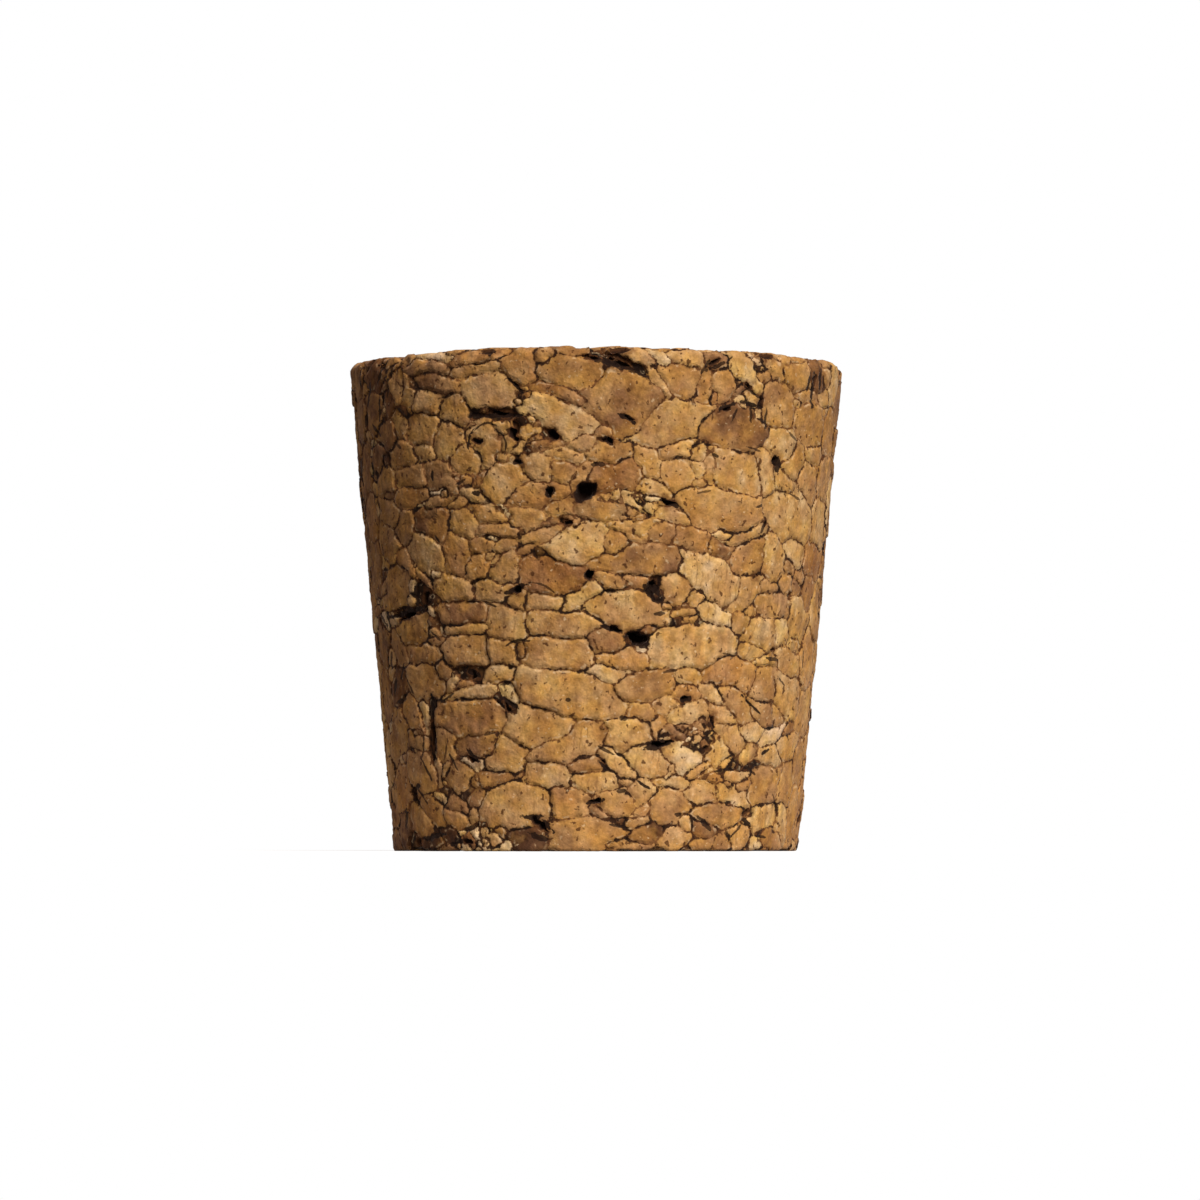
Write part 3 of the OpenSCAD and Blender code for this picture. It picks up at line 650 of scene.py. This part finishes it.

# The marks of the front: thin slits, pits and dark streaks, each as (round, up, length, width,
# turn, bow, dark). Its middle bows by that much, upwards if its turn is 0. Each corner of a face
# knows where it lies in the mark nearest to that face, in half lengths and half widths. The dark of
# a slit or pit is painted shade, and that of a streak is the cork's own.
MARKS = [
    # Upper left
    (-4.1, 25.2, 1.1, 0.18, -45, 0, 1.0), (-5.2, 23.6, 2.7, 0.22, 0, 0, 1.0),
    (-9.4, 20.5, 0.6, 0.2, 90, 0, 1.0), (-6.6, 19.4, 0.5, 0.25, 0, 0, 1.0),
    (-9.8, 18.4, 1.4, 0.5, 0, 0, 0.5), (-9.4, 17.0, 0.5, 0.15, -55, 0, 0.9),
    (-3.0, 14.3, 1.4, 0.12, -20, 0.15, 0.8), (-4.5, 14.2, 1.2, 0.3, 20, 0, 1.0),
    (-6.7, 22.3, 1.2, 0.14, 75, 0.2, 1.0), (-5.8, 22.9, 1.5, 0.12, 5, 0.3, 0.9),
    (-5.0, 22.2, 1.3, 0.12, -70, 0.25, 0.9), (-2.4, 19.5, 0.55, 0.5, 0, 0, 1.0),
    (-4.2, 21.1, 0.6, 0.25, 0, 0, 1.0), (-8.2, 24.7, 1.0, 0.12, 10, 0, 0.8),
    (-12.6, 25.4, 0.9, 0.2, 70, 0, 0.8), (-12.0, 22.2, 0.6, 0.18, -30, 0, 0.8),
    (-7.6, 20.0, 0.7, 0.12, 25, 0, 0.8), (-11.2, 19.9, 0.9, 0.1, 0, 0, 0.8),
    (-14.8, 25.2, 1.3, 0.3, 60, 0, 0.95), (-13.6, 24.3, 1.1, 0.22, 80, 0, 0.95),
    (-15.4, 23.8, 1.0, 0.3, 75, 0, 0.95), (-14.2, 23.2, 0.9, 0.2, -40, 0, 0.9),
    (-13.0, 26.5, 1.6, 0.2, 50, 0, 0.9), (-15.8, 26.2, 1.0, 0.3, 80, 0, 0.9),
    (-14.9, 22.2, 0.9, 0.2, 60, 0, 0.9), (-15.2, 19.5, 0.9, 0.2, 75, 0, 0.8),
    (-14.6, 16.3, 1.1, 0.16, -70, 0, 0.8),
    # Upper right
    (0.9, 26.4, 2.6, 0.3, -16, 0, 0.9), (1.5, 23.5, 1.1, 0.26, -26, 0.1, 1.0),
    (0.7, 22.3, 0.5, 0.3, -40, 0, 0.9), (6.4, 26.6, 1.5, 0.2, 22, 0, 0.9),
    (5.7, 26.5, 0.8, 0.15, 60, 0, 0.9), (7.0, 26.9, 0.7, 0.15, 40, 0, 0.9),
    (13.0, 26.2, 0.9, 0.26, 78, 0, 1.0), (13.5, 25.8, 1.7, 0.38, 90, 0.1, 1.0),
    (14.2, 26.4, 1.0, 0.3, 97, 0, 1.0), (10.8, 21.4, 0.8, 0.42, 88, 0, 1.0),
    (4.0, 19.0, 1.1, 0.25, -18, 0, 1.0), (0.1, 21.0, 0.7, 0.22, 0, 0, 0.9),
    (8.5, 25.3, 1.3, 0.14, -28, 0, 0.9), (7.0, 24.4, 1.1, 0.24, 22, 0, 1.0),
    (8.6, 24.6, 1.2, 0.24, -8, 0, 1.0), (7.5, 24.0, 0.8, 0.16, 65, 0, 0.9),
    (8.5, 24.1, 0.8, 0.16, 95, 0, 0.9), (9.6, 23.9, 1.2, 0.2, 85, 0, 0.9),
    (3.1, 14.3, 0.9, 0.5, -20, 0, 1.0), (9.5, 19.1, 0.6, 0.14, 15, 0, 0.9),
    (4.4, 21.5, 0.35, 0.18, 0, 0, 0.9), (6.5, 21.7, 0.4, 0.18, -25, 0, 0.9),
    (5.5, 22.3, 0.7, 0.1, 20, 0, 0.8), (8.9, 22.2, 0.9, 0.1, -10, 0, 0.8),
    (11.9, 23.1, 0.8, 0.12, -30, 0, 0.8), (5.9, 19.7, 0.8, 0.1, 10, 0, 0.7),
    (12.6, 19.8, 1.0, 0.12, -15, 0, 0.8), (9.9, 17.9, 0.8, 0.18, 65, 0, 0.9),
    # Lower left
    (-12.5, 13.0, 3.2, 0.25, 8, 0, 1.0), (-15.6, 12.7, 1.4, 0.2, -30, 0, 0.9),
    (-10.7, 6.6, 3.1, 0.28, 90, 0, 1.0), (-7.5, 9.6, 0.8, 0.33, -22, 0, 1.0),
    (-5.2, 9.1, 0.5, 0.25, 10, 0, 1.0), (-4.4, 11.3, 1.1, 0.15, 8, 0.1, 0.9),
    (-5.0, 8.0, 1.0, 0.2, -35, 0, 1.0), (-7.7, 5.1, 0.9, 0.22, -40, 0, 1.0),
    (-3.8, 1.8, 1.1, 0.25, 0, 0, 1.0), (-3.0, 1.4, 0.9, 0.28, -50, 0, 1.0),
    (-12.6, 3.4, 0.5, 0.25, 10, 0, 1.0), (-12.9, 2.6, 0.9, 0.22, -55, 0, 0.9),
    (-11.0, 0.7, 1.0, 0.25, 5, 0, 1.0), (-8.3, 1.1, 0.9, 0.25, 10, 0, 0.9),
    (-3.5, 0.7, 1.0, 0.3, -20, 0, 0.9), (-1.6, 8.2, 0.25, 0.18, 0, 0, 0.9),
    (-8.0, 8.2, 1.1, 0.14, -8, 0, 0.9), (-9.3, 8.3, 0.7, 0.12, 25, 0, 0.9),
    (-6.4, 6.3, 1.0, 0.1, 10, 0, 0.8), (-9.9, 11.6, 0.8, 0.14, -35, 0, 0.9),
    (-13.5, 9.8, 0.9, 0.2, 60, 0, 0.9), (-6.2, 13.4, 0.9, 0.12, -20, 0, 0.9),
    (-14.8, 10.4, 1.2, 0.25, 75, 0, 0.9), (-14.6, 9.0, 0.9, 0.3, 70, 0, 0.9),
    (-13.9, 8.1, 0.9, 0.25, 10, 0, 0.9), (-12.6, 8.9, 0.8, 0.16, -60, 0, 0.8),
    (-11.8, 5.6, 1.2, 0.14, 75, 0, 0.9), (-11.6, 4.3, 1.4, 0.16, -55, 0, 0.9),
    (-9.8, 5.3, 1.0, 0.12, 70, 0, 0.8), (-9.2, 4.7, 1.0, 0.14, -60, 0, 0.9),
    (-12.3, 2.9, 1.2, 0.16, -50, 0, 0.9), (-14.6, 1.6, 1.3, 0.3, 70, 0, 0.9),
    (-12.1, 0.5, 1.0, 0.3, 0, 0, 0.95), (-9.2, 0.4, 0.7, 0.3, 0, 0, 0.9),
    # Lower right
    (2.4, 11.5, 1.2, 0.55, -18, 0, 1.0), (0.9, 12.1, 1.2, 0.2, -16, 0, 1.0),
    (3.5, 13.0, 0.7, 0.2, 0, 0, 0.9), (5.2, 8.4, 0.7, 0.3, 5, 0, 1.0),
    (7.1, 7.2, 0.6, 0.18, -68, 0, 1.0), (3.8, 5.9, 1.5, 0.4, 12, 0, 1.0),
    (6.0, 5.9, 0.4, 0.18, 20, 0, 0.8), (6.5, 5.6, 0.3, 0.2, 0, 0, 0.8),
    (10.0, 8.2, 1.7, 0.15, -34, 0, 1.0), (11.6, 10.8, 1.1, 0.2, -5, 0, 0.9),
    (1.6, 7.3, 0.45, 0.22, -20, 0, 0.9), (0.6, 5.5, 0.8, 0.16, -30, 0, 0.9),
    (0.4, 4.7, 0.7, 0.2, -48, 0, 1.0), (8.1, 4.6, 1.5, 0.14, 8, 0, 0.9),
    (2.8, 3.7, 0.9, 0.16, -33, 0, 1.0), (10.1, 1.8, 0.8, 0.28, -30, 0, 1.0),
    (9.4, 1.3, 1.2, 0.14, 40, 0, 0.9), (5.1, 2.1, 0.4, 0.22, 0, 0, 0.9),
    (7.0, 1.6, 1.2, 0.26, -42, 0, 0.9), (11.5, 5.7, 0.9, 0.2, 15, 0, 1.0),
    (-0.1, 2.7, 0.9, 0.25, 10, 0, 1.0), (1.5, 3.3, 0.4, 0.22, 15, 0, 0.9),
    (11.6, 1.0, 0.9, 0.14, -5, 0, 0.9), (15.1, 11.0, 0.9, 0.14, 85, 0, 0.9),
    (10.4, 4.6, 0.9, 0.1, -30, 0, 0.9), (1.4, 1.4, 0.9, 0.12, -10, 0, 0.9),
    (12.6, 9.6, 0.9, 0.12, -30, 0, 0.8), (8.0, 10.9, 0.8, 0.1, -10, 0, 0.7),
    (4.3, 9.9, 0.7, 0.12, 10, 0, 0.8), (13.0, 3.0, 0.8, 0.12, -50, 0, 0.8),
]
# A mark is looked for this far past its ends, and where there is none, it counts as this far off
MARK_MARGIN = 0.5
FAR = 9.0


def in_mark(spots, middle, ways, length, width, bow):
    """How far along and across a mark spots lie. The mark's ends and sides are at 1."""
    along, crosswise = np.moveaxis((spots - middle) @ ways.T, -1, 0)
    along = along / (length / 2)
    return along, (crosswise - bow * (1 - along ** 2)) / (width / 2)


corners = np.empty(len(plug.data.loops), dtype=int)
plug.data.loops.foreach_get("vertex_index", corners)
corner_spots = spots[corners].reshape(-1, 3, 3)
face_spots = corner_spots.mean(1)
mark_look = np.full((len(face_spots), 3, 3), FAR, dtype=np.float32)
nearest_mark = np.full(len(face_spots), FAR)
for across, up, length, width, turn, bow, dark in MARKS:
    middle, level, rise, _ = on_front(across, up)
    ways = np.array(turned(level, rise, math.radians(turn)))
    reach = length / 2 + MARK_MARGIN
    close = np.flatnonzero(np.linalg.norm(face_spots - middle, axis=1) < reach)
    mark = (middle, ways, length, width, bow)
    away = np.hypot(*in_mark(face_spots[close], *mark))
    nearer = away < nearest_mark[close]
    close = close[nearer]
    nearest_mark[close] = away[nearer]
    along, crosswise = in_mark(corner_spots[close], *mark)
    mark_look[close] = np.stack((along, crosswise, np.full(along.shape, dark)), axis=-1)

# A face also has its granule's tone, the granule's number as a share of them all, which picks its
# pattern, and whether it lies in a void
granule_look = np.stack((tones[owners], owners / len(sizes), hollow), axis=1).astype(np.float32)
for name, domain, values in (("granule", "FACE", granule_look), ("seam", "POINT", seam_look),
        ("mark", "CORNER", mark_look)):
    attribute = plug.data.attributes.new(name, "FLOAT_VECTOR", domain)
    attribute.data.foreach_set("vector", values.ravel())
plug.data.shade_smooth()


def colour(red, green, blue):
    """An sRGB colour of 0 to 255 as the linear one that a node takes."""
    def linear(value):
        value /= 255
        return value / 12.92 if value <= 0.04045 else ((value + 0.055) / 1.055) ** 2.4
    return (linear(red), linear(green), linear(blue), 1.0)


def put(tree, kind, inputs=None, **settings):
    """Adds a node with these settings, and sets or links its inputs, which are named or numbered."""
    node = tree.nodes.new(kind)
    for name, value in settings.items():
        setattr(node, name, value)
    for name, value in (inputs or {}).items():
        if isinstance(value, bpy.types.NodeSocket):
            tree.links.new(value, node.inputs[name])
        else:
            node.inputs[name].default_value = value
    return node


def calc(tree, operation, first, second=0.0, third=0.0):
    """A Math node's result."""
    node = put(tree, "ShaderNodeMath", {0: first, 1: second, 2: third}, operation=operation)
    return node.outputs[0]


def vector(tree, operation, first, second=(0, 0, 0)):
    """A Vector Math node's vector result. A scale's second value is its factor."""
    place = "Scale" if operation == "SCALE" else 1
    node = put(tree, "ShaderNodeVectorMath", {0: first, place: second}, operation=operation)
    return node.outputs[0]


def measure(tree, operation, first, second=(0, 0, 0)):
    """A Vector Math node's single value, such as a length or a dot product."""
    node = put(tree, "ShaderNodeVectorMath", {0: first, 1: second}, operation=operation)
    return node.outputs["Value"]


def parts(tree, value):
    """The three parts of a vector."""
    return put(tree, "ShaderNodeSeparateXYZ", {0: value}).outputs


def fade(tree, value, start, end, low=0.0, high=1.0):
    """Runs smoothly from low to high as value goes from start to end."""
    node = put(tree, "ShaderNodeMapRange", {"Value": value, "From Min": start, "From Max": end,
        "To Min": low, "To Max": high}, interpolation_type="SMOOTHSTEP")
    return node.outputs["Result"]


def noise_texture(tree, place, per_mm, detail, seed):
    """A Noise Texture in four dimensions, where seed picks the pattern."""
    return put(tree, "ShaderNodeTexNoise", {"Vector": place, "W": seed, "Scale": per_mm,
        "Detail": detail}, noise_dimensions="4D").outputs[0]


def choose(tree, factor, first, second):
    """The second colour where factor is 1, the first where it is 0, and a mix in between."""
    node = put(tree, "ShaderNodeMix", {0: factor}, data_type="RGBA")
    sockets = [socket for socket in node.inputs if socket.name in "AB" and socket.enabled]
    for socket, value in zip(sockets, (first, second)):
        if isinstance(value, bpy.types.NodeSocket):
            tree.links.new(value, socket)
        else:
            socket.default_value = value
    return next(socket for socket in node.outputs if socket.enabled)


def ramp(tree, factor, tones):
    """Colours at places from 0 to 1, blended between."""
    node = put(tree, "ShaderNodeValToRGB", {"Fac": factor})
    stops = node.color_ramp.elements
    for spot, shade in tones[1:-1]:
        stops.new(spot).color = colour(*shade)
    for stop, (spot, shade) in ((stops[0], tones[0]), (stops[-1], tones[-1])):
        stop.position, stop.color = spot, colour(*shade)
    return node.outputs["Color"]


# The finish: each granule has its own tone and its own mottling, with a grain that runs mostly
# upright, and the seams are thin lines of dark binder.
cork = bpy.data.materials.new("agglomerated_cork")
cork.use_nodes = True
tree = cork.node_tree
surface = tree.nodes["Principled BSDF"]
object_place = put(tree, "ShaderNodeTexCoord").outputs["Object"]
place = vector(tree, "SCALE", object_place, MM_PER_M)
granule = parts(tree, put(tree, "ShaderNodeAttribute", attribute_name="granule").outputs["Vector"])
seam = parts(tree, put(tree, "ShaderNodeAttribute", attribute_name="seam").outputs["Vector"])
mark_place = put(tree, "ShaderNodeAttribute", attribute_name="mark").outputs["Vector"]
own_tone, own_share, in_void = granule[0], granule[1], granule[2]
edge, strength, void = seam[0], seam[1], seam[2]

# Each granule has three chances of its own, and its patterns lie apart from all the others'
number = calc(tree, "MULTIPLY", own_share, 1000.0)
chance = put(tree, "ShaderNodeTexWhiteNoise", {"W": number}, noise_dimensions="1D").outputs["Color"]
chances = parts(tree, chance)
own_place = vector(tree, "ADD", place, vector(tree, "SCALE", chance, 40.0))

# The tone changes in soft patches inside a granule
patches = noise_texture(tree, own_place, 0.8, 3.0, 12.0)
tone_drift = fade(tree, patches, 0.3, 0.7, -0.15, 0.15)
tone_drift = calc(tree, "MULTIPLY", tone_drift, fade(tree, own_tone, 0.08, 0.3))
tone = calc(tree, "ADD", own_tone, tone_drift)
base = ramp(tree, tone, [(0.0, (26, 14, 8)), (0.14, (84, 52, 30)), (0.3, (146, 101, 60)),
    (0.5, (186, 136, 79)), (0.66, (206, 157, 93)), (0.8, (221, 178, 115)), (1.0, (240, 205, 150))])
redder = fade(tree, chances[1], 0.6, 1.0, 0.0, 0.3)
base = choose(tree, redder, base, colour(186, 124, 70))
greyer = fade(tree, chances[1], 0.25, 0.0, 0.0, 0.22)
base = choose(tree, greyer, base, colour(184, 140, 98))
golden = noise_texture(tree, own_place, 1.1, 2.0, 18.0)
base = choose(tree, fade(tree, golden, 0.52, 0.66, 0.0, 0.3), base, colour(206, 154, 86))
# The darkest granules, mostly crumbled away into pits, are painted near black as the shade in those
# pits
pit_shade_tone = calc(tree, "ADD", own_tone, fade(tree, golden, 0.3, 0.7, -0.05, 0.05))
base = choose(tree, fade(tree, pit_shade_tone, 0.16, 0.06, 0.0, 0.9), base, colour(30, 16, 9))

# Fibres and layers of bark, stretched along each granule's own way, which is mostly upright
tilt = vector(tree, "SUBTRACT", chance, (0.5, 0.5, 0.5))
way = vector(tree, "NORMALIZE", vector(tree, "ADD", tilt, (0.0, 0.0, 0.55)))
stretch = calc(tree, "MULTIPLY", measure(tree, "DOT_PRODUCT", own_place, way), 0.2)
grain_place = vector(tree, "SUBTRACT", own_place, vector(tree, "SCALE", way, stretch))
grain = put(tree, "ShaderNodeTexNoise", {"Vector": grain_place, "Scale": 3.0, "Detail": 3.5,
    "Roughness": 0.6, "Distortion": 0.6}).outputs[0]
base = vector(tree, "SCALE", base, fade(tree, grain, 0.3, 0.7, 0.87, 1.09))
blotch = noise_texture(tree, own_place, 2.2, 2.0, 25.0)
base = vector(tree, "SCALE", base, fade(tree, blotch, 0.32, 0.68, 0.88, 1.1))
speckle = noise_texture(tree, place, 7.0, 2.0, 13.0)
base = vector(tree, "SCALE", base, fade(tree, speckle, 0.3, 0.7, 0.88, 1.09))
tinge = fade(tree, noise_texture(tree, place, 0.9, 3.0, 27.0), 0.32, 0.68)
yellower = vector(tree, "MULTIPLY", base, (1.02, 0.98, 0.78))
pinker = vector(tree, "MULTIPLY", base, (0.98, 1.02, 1.28))
base = choose(tree, tinge, yellower, pinker)

# Growth lines: thin, wavy and brown, about a third of a millimetre apart, clear in some granules
bend = noise_texture(tree, own_place, 1.0, 3.0, 14.0)
line_way = vector(tree, "NORMALIZE", vector(tree, "CROSS_PRODUCT", way, tilt))
across = measure(tree, "DOT_PRODUCT", own_place, line_way)
phase = calc(tree, "MULTIPLY_ADD", across, 17.0, calc(tree, "MULTIPLY", bend, 13.0))
ring = fade(tree, calc(tree, "SINE", phase), 0.45, 1.0)
swell = fade(tree, calc(tree, "SINE", calc(tree, "MULTIPLY", phase, 0.6)), -0.8, 0.9, 0.84, 1.08)
base = choose(tree, fade(tree, chances[0], 0.7, 0.9), base, vector(tree, "SCALE", base, swell))
patchy = fade(tree, noise_texture(tree, own_place, 1.7, 1.0, 19.0), 0.42, 0.6)
patchy = calc(tree, "MULTIPLY", patchy, fade(tree, chances[2], 0.15, 0.7, 0.05, 0.38))
base = choose(tree, calc(tree, "MULTIPLY", ring, patchy), base, colour(112, 72, 40))

# Dark pores, and pale glints, which are painted highlights
fleck = noise_texture(tree, grain_place, 3.0, 3.0, 17.0)
base = choose(tree, fade(tree, fleck, 0.385, 0.335, 0.0, 0.85), base, colour(80, 46, 23))
glint_highlight = noise_texture(tree, own_place, 3.8, 3.0, 20.0)
base = choose(tree, fade(tree, glint_highlight, 0.64, 0.7, 0.0, 0.5), base, colour(240, 208, 162))

# Painted shade darkens granules towards a strong seam, and a painted highlight makes a pale lip in
# places
broken = fade(tree, noise_texture(tree, place, 1.3, 3.0, 15.0), 0.38, 0.64, 0.18, 1.4)
held = calc(tree, "MINIMUM", calc(tree, "MULTIPLY", strength, broken), 1.0)
# The darkening near the seam is painted shade in its crease
seam_shade = fade(tree, edge, 0.0, 0.16, calc(tree, "MULTIPLY_ADD", held, -0.34, 0.94), 1.0)
base = vector(tree, "SCALE", base, seam_shade)
# The pale lip is a painted highlight, where an edge would catch the light
lip_highlight = calc(tree, "MULTIPLY", fade(tree, edge, 0.05, 0.09), fade(tree, edge, 0.2, 0.12))
lip_highlight_share = fade(tree, noise_texture(tree, place, 2.2, 1.0, 16.0), 0.54, 0.68, 0.0, 0.45)
base = choose(tree, calc(tree, "MULTIPLY", lip_highlight, lip_highlight_share), base, colour(238, 204, 158))

# Painted shade: the cork darkens in brown patches round the voids
void_rim_shade = fade(tree, noise_texture(tree, place, 2.2, 2.0, 21.0), 0.3, 0.7, 0.0, 0.4)
void_rim_shade = fade(tree, calc(tree, "ADD", void, void_rim_shade), -0.12, 0.2, 0.0, 0.6)
base = choose(tree, void_rim_shade, base, colour(112, 70, 38))

# The seam: a thin wobbling line of binder, in places hardly seen and in places open and black
wobble = fade(tree, noise_texture(tree, place, 5.0, 2.0, 23.0), 0.3, 0.7, -0.045, 0.05)
width = calc(tree, "MULTIPLY_ADD", calc(tree, "POWER", held, 2.2), 0.09, 0.028)
inner, outer = calc(tree, "MULTIPLY", width, 0.4), calc(tree, "ADD", width, 0.02)
drawn = fade(tree, calc(tree, "ADD", edge, wobble), inner, outer, 1.0, 0.0)
drawn = calc(tree, "MULTIPLY", drawn, fade(tree, held, 0.0, 0.3, 0.6, 0.97))
binder = ramp(tree, held, [(0.0, (120, 76, 42)), (0.35, (92, 56, 30)), (0.7, (56, 32, 18)),
    (1.0, (30, 16, 10))])
base = choose(tree, drawn, base, binder)

# Painted shade: the voids are painted dark inside, darker the deeper they go
void_shade = ramp(tree, fade(tree, void, 0.0, 0.45), [(0.0, (84, 52, 29)), (0.3, (48, 28, 17)),
    (1.0, (36, 21, 14))])
base = choose(tree, in_void, base, void_shade)
# Marks are dark: streaks of the cork's own, and slits and pits whose dark is painted shade
mark_dark = parts(tree, mark_place)[2]
off_mark = measure(tree, "LENGTH", vector(tree, "MULTIPLY", mark_place, (1, 1, 0)))
frayed = fade(tree, noise_texture(tree, place, 3.2, 3.0, 24.0), 0.3, 0.7, -0.4, 0.4)
off_mark = calc(tree, "ADD", off_mark, frayed)
dark_and_shaded_mark = calc(tree, "MULTIPLY", fade(tree, off_mark, 1.25, 0.95), mark_dark)
base = choose(tree, calc(tree, "MULTIPLY", dark_and_shaded_mark, 0.95), base, colour(32, 18, 11))

# Fine relief, in millimetres: grain, speckle, marks, the fall to the seams, and blotches
height_mm = calc(tree, "MULTIPLY", grain, 0.1)
height_mm = calc(tree, "MULTIPLY_ADD", speckle, 0.03, height_mm)
height_mm = calc(tree, "MULTIPLY_ADD", dark_and_shaded_mark, -0.12, height_mm)
height_mm = calc(tree, "ADD", height_mm, fade(tree, edge, 0.0, 0.26, -0.065, 0.0))
height_mm = calc(tree, "MULTIPLY_ADD", blotch, 0.12, height_mm)
relief = {"Strength": 0.6, "Distance": 1 / MM_PER_M, "Height": height_mm}
bump = put(tree, "ShaderNodeBump", relief)
tree.links.new(base, surface.inputs["Base Color"])
tree.links.new(fade(tree, grain, 0.3, 0.7, 0.92, 0.78), surface.inputs["Roughness"])
tree.links.new(bump.outputs["Normal"], surface.inputs["Normal"])
surface.inputs["Specular IOR Level"].default_value = 0.12
surface.inputs["Sheen Weight"].default_value = 0.14
surface.inputs["Sheen Roughness"].default_value = 0.35
surface.inputs["Sheen Tint"].default_value = colour(255, 218, 196)
plug.data.materials.clear()
plug.data.materials.append(cork)

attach(plug, "root")
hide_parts("stopper")


# ---- The studio ----
# A pale matt floor that turns plain white away from the stopper, as the backdrop is, a large soft
# lamp in front on the right, and a weak fill from all round. Sizes here are in metres.

FLOOR_HALF = 3.0
PLAIN_FROM, PLAIN_TO = 0.016, 0.034
floor_mesh = bpy.data.meshes.new("floor")
work = bmesh.new()
bmesh.ops.create_grid(work, x_segments=1, y_segments=1, size=FLOOR_HALF)
work.to_mesh(floor_mesh)
work.free()
floor = bpy.data.objects.new("floor", floor_mesh)
bpy.context.scene.collection.objects.link(floor)
pale = bpy.data.materials.new("pale_floor")
pale.use_nodes = True
tree = pale.node_tree
tree.nodes.clear()
matt = put(tree, "ShaderNodeBsdfDiffuse", {"Color": (0.4, 0.4, 0.4, 1)})
glow = put(tree, "ShaderNodeEmission", {"Color": (1, 1, 1, 1)})
rays = put(tree, "ShaderNodeLightPath")
seen = calc(tree, "MAXIMUM", rays.outputs["Is Camera Ray"], rays.outputs["Is Glossy Ray"])
tree.links.new(calc(tree, "MULTIPLY", seen, 0.76), glow.inputs["Strength"])
under_plug = put(tree, "ShaderNodeAddShader", {0: matt.outputs[0], 1: glow.outputs[0]})
plain = put(tree, "ShaderNodeEmission", {"Color": (1, 1, 1, 1), "Strength": seen})
off_middle = measure(tree, "LENGTH", put(tree, "ShaderNodeTexCoord").outputs["Object"])
floor_mix = put(tree, "ShaderNodeMixShader", {0: fade(tree, off_middle, PLAIN_FROM, PLAIN_TO),
    1: under_plug.outputs[0], 2: plain.outputs[0]})
put(tree, "ShaderNodeOutputMaterial", {"Surface": floor_mix.outputs[0]})
floor_mesh.materials.append(pale)

world = bpy.data.worlds.new("studio")
bpy.context.scene.world = world
world.use_nodes = True
tree = world.node_tree
tree.nodes.clear()
fill = put(tree, "ShaderNodeBackground", {"Color": (1.0, 0.88, 0.86, 1), "Strength": 0.33})
white = put(tree, "ShaderNodeBackground", {"Color": (1, 1, 1, 1), "Strength": 1.0})
rays = put(tree, "ShaderNodeLightPath")
seen = calc(tree, "MAXIMUM", rays.outputs["Is Camera Ray"], rays.outputs["Is Transmission Ray"])
mix = put(tree, "ShaderNodeMixShader", {0: seen, 1: fill.outputs[0], 2: white.outputs[0]})
put(tree, "ShaderNodeOutputWorld", {"Surface": mix.outputs[0]})


def lamp(name, azimuth, elevation, softness, level, tint):
    """A soft lamp, far away. Azimuth 0 is the front and 90 the right, and softness is the angle that
    it fills. A white surface square to a lamp of level 1 shows as white."""
    data = bpy.data.lights.new(name, "SUN")
    data.angle = math.radians(softness)
    data.energy = math.pi * level
    data.color = tint
    piece = bpy.data.objects.new(name, data)
    piece.rotation_euler = (math.radians(90 - elevation), 0, math.radians(azimuth))
    bpy.context.scene.collection.objects.link(piece)


lamp("key_lamp", 31, 32, 24, 0.98, (1.0, 0.97, 0.92))

# The camera stands about level with the foot of the stopper, and looks a little upwards, by this
# angle in degrees.
DISTANCE, EYE, ASIDE = 0.308, 0.0008, 0.00023
LOOK_UP = 2.492
camera_data = bpy.data.cameras.new("camera")
camera_data.sensor_width = 36.0
camera_data.lens = 163.2
camera_data.clip_start, camera_data.clip_end = 0.01, 20
camera = bpy.data.objects.new("camera", camera_data)
camera.location = (ASIDE, -DISTANCE, EYE)
camera.rotation_euler = (math.radians(90 + LOOK_UP), 0, 0)
bpy.context.scene.collection.objects.link(camera)
bpy.context.scene.camera = camera
bpy.context.scene.view_settings.view_transform = "Standard"
